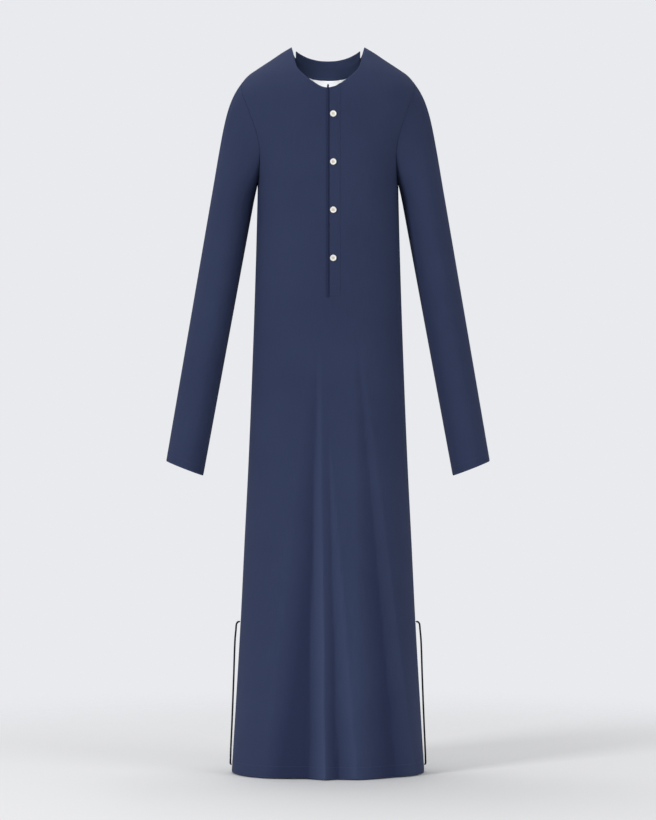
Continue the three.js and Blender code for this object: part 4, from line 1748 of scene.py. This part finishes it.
@dataclass
class NeckFinish:
    """The band that stands at the back of the neck, its cloth darkened as painted shade, and the
    pale half-moon below it.

    Attributes:
        half_width: of the band, measured along X.
        lean: how far its standing part leans forward for each millimetre of height.
        lift: of both pieces from the back panel's outer face, which is negative: inside it.
        neck_gap: from the neckline down to where the band starts to stand.
        band_wall: thickness of the band.
        moon_half_width, moon_depth: of the half-moon's ellipse.
        moon_end: half the width at which it is cut off.
        moon_least: its least height there.
        moon_wall: its thickness.
        below_band: from the band's lower edge to the half-moon.
        edge: how the edges of both show as pressed.
    """

    half_width: float = 66.0
    lean: float = 0.12
    lift: float = -1.75
    neck_gap: float = 0.6
    band_wall: float = 2.1
    moon_half_width: float = 50.0
    moon_end: float = 48.5
    moon_depth: float = 46.0
    moon_least: float = 2.0
    moon_wall: float = 1.0
    below_band: float = 0.3
    edge: Edge = Edge(pressed=1.5)

    @staticmethod
    def band_top(x: Array) -> Array:
        """Height of the band's upper edge."""
        return Curve(*zip(*BAND_TOP))(np.abs(x))

    @staticmethod
    def band_low(x: Array) -> Array:
        """Height of the band's lower edge."""
        return Curve(*zip(*BAND_LOW))(np.abs(x))

    def standing(self, foot: Array, height: Array) -> Array:
        """Points above the line where the band starts to stand.

        Args:
            foot: points of that line.
            height: of each point above it.

        Returns:
            A point for each height.
        """
        height = np.asarray(height)
        return np.stack([np.broadcast_to(foot[:, 0], height.shape),
                         foot[:, 1] - self.lean * height, foot[:, 2] + height], axis=-1)

    def band(self) -> bpy.types.Object:
        """The band: it follows the back panel up to the neckline and then stands up past it.

        Returns:
            The object.
        """
        near = np.array([0, 0.4, 0.9, 1.6])
        x = np.concatenate([-self.half_width + near, np.linspace(-64, 64, 61),
                            self.half_width - near[::-1]])[None, :]
        neck = FORM.top_height(Facing.BACK, x) - self.neck_gap
        inside = np.concatenate([[0.0, 0.015, 0.035], np.linspace(0.06, 1, 10)])[:, None]
        lying = FORM.skin(Facing.BACK, x, lerp(self.band_low(x), neck, inside), self.lift)
        rise = np.concatenate([np.linspace(0, 0.94, 9)[1:], [0.97, 0.985, 1.0]])[:, None]
        foot = lying[-1]
        standing = self.standing(foot, rise * (self.band_top(x) - foot[..., 2]))
        points = np.concatenate([lying, standing])
        ends = np.minimum(points[..., 2] - points[0, :, 2], points[-1, :, 2] - points[..., 2])
        marks = self.edge.marks(np.minimum(self.half_width - np.abs(x), ends))
        made = walled("neck_band_stand", Surface(points, True, marks=marks), self.band_wall)
        rounded = made.modifiers.new("rounded", "BEVEL")
        rounded.width = 0.7 * MM
        rounded.segments = 3
        rounded.limit_method = "ANGLE"
        rounded.angle_limit = math.radians(50)
        return made

    def band_lines(self, stitches: Stitches) -> list[Surface]:
        """Stitches on the band's visible face, near its lower and upper edge.

        Args:
            stitches: the stitches.

        Returns:
            A surface for each row.
        """
        x = np.linspace(-62, 62, 140)
        low_z = self.band_low(x) + 3.2
        low = FORM.skin(Facing.BACK, x, low_z, self.lift - self.band_wall)
        neck = FORM.top_height(Facing.BACK, x) - self.neck_gap
        foot = FORM.skin(Facing.BACK, x, neck, self.lift)
        high = self.standing(foot, self.band_top(x) - 3.0 - foot[:, 2])
        level = unit(FORM.outward(Facing.BACK, x, neck) * [1, 1, 0])
        return [stitches.surface(low, -FORM.outward(Facing.BACK, x, low_z)),
                stitches.surface(high - (self.band_wall + 0.05) * level, -level)]

    def half_moon(self) -> bpy.types.Object:
        """The half-moon: from just below the band down to an ellipse's lower half.

        Returns:
            The object.
        """
        x = np.linspace(-self.moon_end, self.moon_end, 73)[None, :]
        upper = self.band_low(x) - self.below_band
        chord = self.band_low(self.moon_half_width)
        arc = chord - self.moon_depth * np.sqrt(1 - (x / self.moon_half_width) ** 2)
        lower = np.minimum(arc, upper - self.moon_least)
        z = lerp(lower, upper, np.linspace(0, 1, 25)[:, None])
        points = FORM.skin(Facing.BACK, x, z, self.lift)
        marks = self.edge.marks(np.minimum(z - lower, upper - z))
        return walled("neck_half_moon_patch", Surface(points, True, marks=marks), self.moon_wall)

    def half_moon_line(self, stitches: Stitches, inset: float = 2.5) -> Surface:
        """Stitches along the half-moon's curved edge.

        Args:
            stitches: the stitches.
            inset: of the line from that edge.

        Returns:
            Their surface.
        """
        turn = np.linspace(-0.46, 0.46, 90) * math.pi
        x = (self.moon_half_width - inset) * np.sin(turn)
        z = self.band_low(self.moon_half_width) - (self.moon_depth - inset) * np.cos(turn)
        path = FORM.skin(Facing.BACK, x, z, self.lift - self.moon_wall)
        return stitches.surface(path, -FORM.outward(Facing.BACK, x, z))

    @staticmethod
    def neckline_lines(stitches: Stitches) -> list[Surface]:
        """Stitches below both necklines, clear of the placket.

        Args:
            stitches: the stitches.

        Returns:
            A surface for each row.
        """
        spans = {Facing.FRONT: [(-0.985, -0.04), (0.36, 0.985)], Facing.BACK: [(-0.985, 0.985)]}
        surfaces = []
        for facing in Facing:
            panel = PanelCloth(facing)
            rows = panel.armhole(math.pi - np.array([0.31, 0.28, 0.25]))
            for left, right in spans[facing]:
                top = NECK_ANGLE * np.linspace(left, right, 160)
                points = panel.points(rows, (top, top))
                surfaces.append(stitches.surface(points[1], panel.normals(points)[1]))
        return surfaces


# ---------------------------------------------------------------- vents


@dataclass
class Vent:
    """The fine piping beside one side vent and the stitches of the vent's edges.

    Attributes:
        side: the wearer's left or right.
        radius: of the piping.
        route: x, y and z of the left vent's piping, from the vent's head to the hem.
    """

    side: Side
    radius: float = 1.8
    route: tuple[tuple[float, float, float], ...] = (
        (175.2, 0, -1148), (179.2, 0, -1148.4), (183.2, 0, -1153.6), (184.2, 0, -1165),
        (186, 0, -1185), (188.6, 0, -1260), (191.6, 0, -1340), (195, 0, -1420),
        (195.3, 1.2, -1431), (193.2, 5.6, -1435),
    )

    def piping(self) -> bpy.types.Object:
        """The piping: monotone cubics through the route, by the distance along it.

        Returns:
            The object.
        """
        points = np.array(self.route) * [self.side.value, 1, 1]
        reach = arc_lengths(points, 0)
        fine = np.linspace(0, reach[-1], 260)
        path = np.stack([Curve(reach, points[:, k])(fine) for k in range(3)], axis=-1)
        radii = round_ends(len(path), self.radius, 3)
        surface = bar_surface(path, radii, 12, np.array([0.0, 1.0, 0.0]))
        name = "vent_edge_piping_" + self.side.name.lower()
        return mesh_object(name, [surface], True)

    def lines(self, stitches: Stitches) -> list[Surface]:
        """Stitches down both edges of the vent.

        Args:
            stitches: the stitches.

        Returns:
            A surface for each row.
        """
        z = np.linspace(HEM_Z + 4, VENT_TOP_Z + 4, 180)
        angle = np.sort((math.pi / 2 - np.array([0.075, 0.068, 0.061])) * self.side.value)
        surfaces = []
        for facing in Facing:
            panel = PanelCloth(facing)
            points = panel.points(panel.straight(z), (angle, angle))
            surfaces.append(stitches.surface(points[:, 1], panel.normals(points)[:, 1]))
        return surfaces


# ---------------------------------------------------------------- the studio


@dataclass(frozen=True)
class SoftLight:
    """A square area light: its place, what it looks at, its side, its power and its spread."""

    name: str
    place: tuple[float, float, float]
    target: tuple[float, float, float]
    side: float
    power: float
    spread: float = math.pi

    def build(self) -> None:
        """Adds the light to the scene."""
        data = bpy.data.lights.new(self.name, "AREA")
        data.shape = "SQUARE"
        data.size = self.side
        data.energy = self.power
        data.spread = self.spread
        made = bpy.data.objects.new(self.name, data)
        made.location = self.place
        way = np.array(self.target) - np.array(self.place)
        made.rotation_euler = Vector(way).to_track_quat("-Z", "Y").to_euler()
        bpy.context.scene.collection.objects.link(made)


@dataclass
class Studio:
    """A pale floor that fades into a pale backdrop, soft lights and the camera.

    Attributes:
        distance: of the camera in front of the garment, metres.
        level: height of the camera, metres.
        field_height: what it sees from top to bottom at the garment, metres.
        floor_z: height of the floor, metres.
        backdrop: its colour to the camera.
        ambient: strength of the light that comes from all round.
        lights: the area lights.
    """

    distance: float = 5.5
    level: float = -0.725
    field_height: float = 1.64
    floor_z: float = (HEM_Z - 2.0) * MM
    backdrop: Colour = rgb(233, 234, 238)
    ambient: float = 0.43
    lights: tuple[SoftLight, ...] = (
        SoftLight("key", (-3.9, -3.65, 0.9), (0, 0, -0.8), 1.3, 150),
        SoftLight("fill", (4.2, -3.2, 0.2), (0, 0, -0.8), 2.6, 78),
        SoftLight("top", (-0.4, 0.8, 3.0), (0, 0, -0.6), 2.0, 58),
        SoftLight("neck", (0, -1.3, 0.63), (0, 0.075, -0.062), 0.03, 0.030, math.radians(6)),
    )

    def camera(self) -> None:
        """A level camera in front of the garment, its lens set by the field's height."""
        data = bpy.data.cameras.new("front view")
        data.sensor_width = 36.0
        data.lens = data.sensor_width * self.distance / self.field_height
        data.clip_end = 60.0
        made = bpy.data.objects.new("front view", data)
        made.location = (0.0, -self.distance, self.level)
        made.rotation_euler = (math.pi / 2, 0.0, 0.0)
        bpy.context.scene.collection.objects.link(made)
        bpy.context.scene.camera = made

    def world(self) -> None:
        """The backdrop's colour to the camera, and a dimmer soft light to everything else."""
        world = bpy.data.worlds.new("pale studio")
        world.use_nodes = True
        g = Graph(world.node_tree)
        seen = g.node("Background", {"Color": self.backdrop, "Strength": 1.0})
        soft = g.node("Background", {"Color": (1.0, 1.0, 1.0, 1.0), "Strength": self.ambient})
        ray = g.node("LightPath")
        g.close(g.node("MixShader", {0: ray.outputs["Is Camera Ray"], 1: soft.outputs[0],
                                     2: seen.outputs[0]}), "OutputWorld")
        bpy.context.scene.world = world

    def floor(self) -> None:
        """A disc of pale floor: alpha goes from 1 to 0 between two radii, by a smooth step."""
        turn = np.linspace(0, 2 * math.pi, 97)[:-1]
        radius = np.array([0.0, 0.3, 0.6, 1.0, 1.5, 2.2])[:, None] / MM
        flat = np.full((6, 96), self.floor_z / MM)
        points = np.stack([radius * np.cos(turn), radius * np.sin(turn), flat], axis=-1)
        made = mesh_object("studio_floor", [Surface(points, wraps=True)])
        material, g = new_material("pale floor")
        place = {0: g.node("TexCoord").outputs["Object"], 1: (1.0, 1.0, 0.0)}
        level = g.node("VectorMath", place, operation="MULTIPLY").outputs[0]
        away = g.node("VectorMath", {0: level}, operation="LENGTH").outputs["Value"]
        reach = {"Value": away, "From Min": 0.55, "From Max": 1.7, "To Min": 1.0, "To Max": 0.0}
        fade = g.node("MapRange", reach, interpolation_type="SMOOTHSTEP").outputs[0]
        g.close(g.node("BsdfPrincipled", {
            "Base Color": (0.86, 0.865, 0.875, 1.0), "Roughness": 0.9,
            "Specular IOR Level": 0.1, "Alpha": fade,
        }))
        made.data.materials.append(material)

    def build(self) -> None:
        """Sets up everything that isn't the garment."""
        self.camera()
        self.world()
        self.floor()
        for light in self.lights:
            light.build()
        bpy.context.scene.view_settings.view_transform = "Standard"


# ---------------------------------------------------------------- the abaya


def build_body() -> None:
    """The panels, sleeves, hems and their stitches."""
    hems = Hems()
    front = PanelCloth(Facing.FRONT, slit=math.radians(0.2))
    back = PanelCloth(Facing.BACK)
    left, right = SleeveCloth(Side.LEFT), SleeveCloth(Side.RIGHT)

    front_cloth = dress(front.build("front_cloth"), NAVY, "front_panel")
    back_cloth = dress(back.build("back_cloth"), NAVY, "back_panel")
    left_cloth = dress(left.build("left_sleeve_cloth"), NAVY, "sleeve_left")
    right_cloth = dress(right.build("right_sleeve_cloth"), NAVY, "sleeve_right")
    front_hem = dress(hems.panel_facing("front_hem_turned_up", front), NAVY)
    back_hem = dress(hems.panel_facing("back_hem_turned_up", back), NAVY)
    left_hem = dress(hems.cuff_facing("left_cuff_turned_up", left), NAVY)
    right_hem = dress(hems.cuff_facing("right_cuff_turned_up", right), NAVY)

    lines = [hems.panel_line(front), hems.panel_line(back), hems.cuff_line(left),
             hems.cuff_line(right)]
    dress(mesh_object("hem_and_cuff_stitches", lines, True), NAVY_THREAD)


def build_opening() -> None:
    """The placket, its piping and stitches, and the buttons."""
    placket, buttons = Placket(), ButtonRow()
    dress(placket.over(), NAVY, "placket_over")
    dress(placket.under(), NAVY, "placket_under")
    dress(placket.piping(), NAVY_PIPING, "placket_piping")
    dress(mesh_object("placket_stitches", placket.lines(Stitches()), True), NAVY_THREAD)
    for number in range(buttons.count):
        dress(buttons.button(number), IVORY, f"button_{number + 1}")
    dress(buttons.thread(), CREAM_THREAD)
    dress(buttons.buttonholes(placket.lift + placket.wall), NAVY_THREAD)


def build_neck() -> None:
    """The band, the half-moon and their stitches."""
    neck = NeckFinish()
    dress(neck.band(), SHADED_NAVY, "neck_band")
    dress(neck.half_moon(), PALE_COTTON, "neck_half_moon")
    dress(mesh_object("neck_band_stitches", neck.band_lines(Stitches()), True), NAVY_THREAD)
    dress(mesh_object("neckline_stitches", neck.neckline_lines(Stitches()), True), NAVY_THREAD)
    dress(mesh_object("half_moon_stitches", [neck.half_moon_line(Stitches())], True), CREAM_THREAD)


def build_vents() -> None:
    """The piping and stitches of both side vents."""
    lines: list[Surface] = []
    for side in Side:
        vent = Vent(side)
        dress(vent.piping(), PIPING, "vent_piping_" + side.name.lower())
        lines += vent.lines(Stitches())
    dress(mesh_object("vent_stitches", lines, True), NAVY_THREAD)


def main() -> None:
    """Builds the studio and every piece of the garment."""
    logging.basicConfig(level=logging.INFO, format="%(message)s")
    Studio().build()
    build_body()
    build_opening()
    build_neck()
    build_vents()


if __name__ == "__main__":
    main()
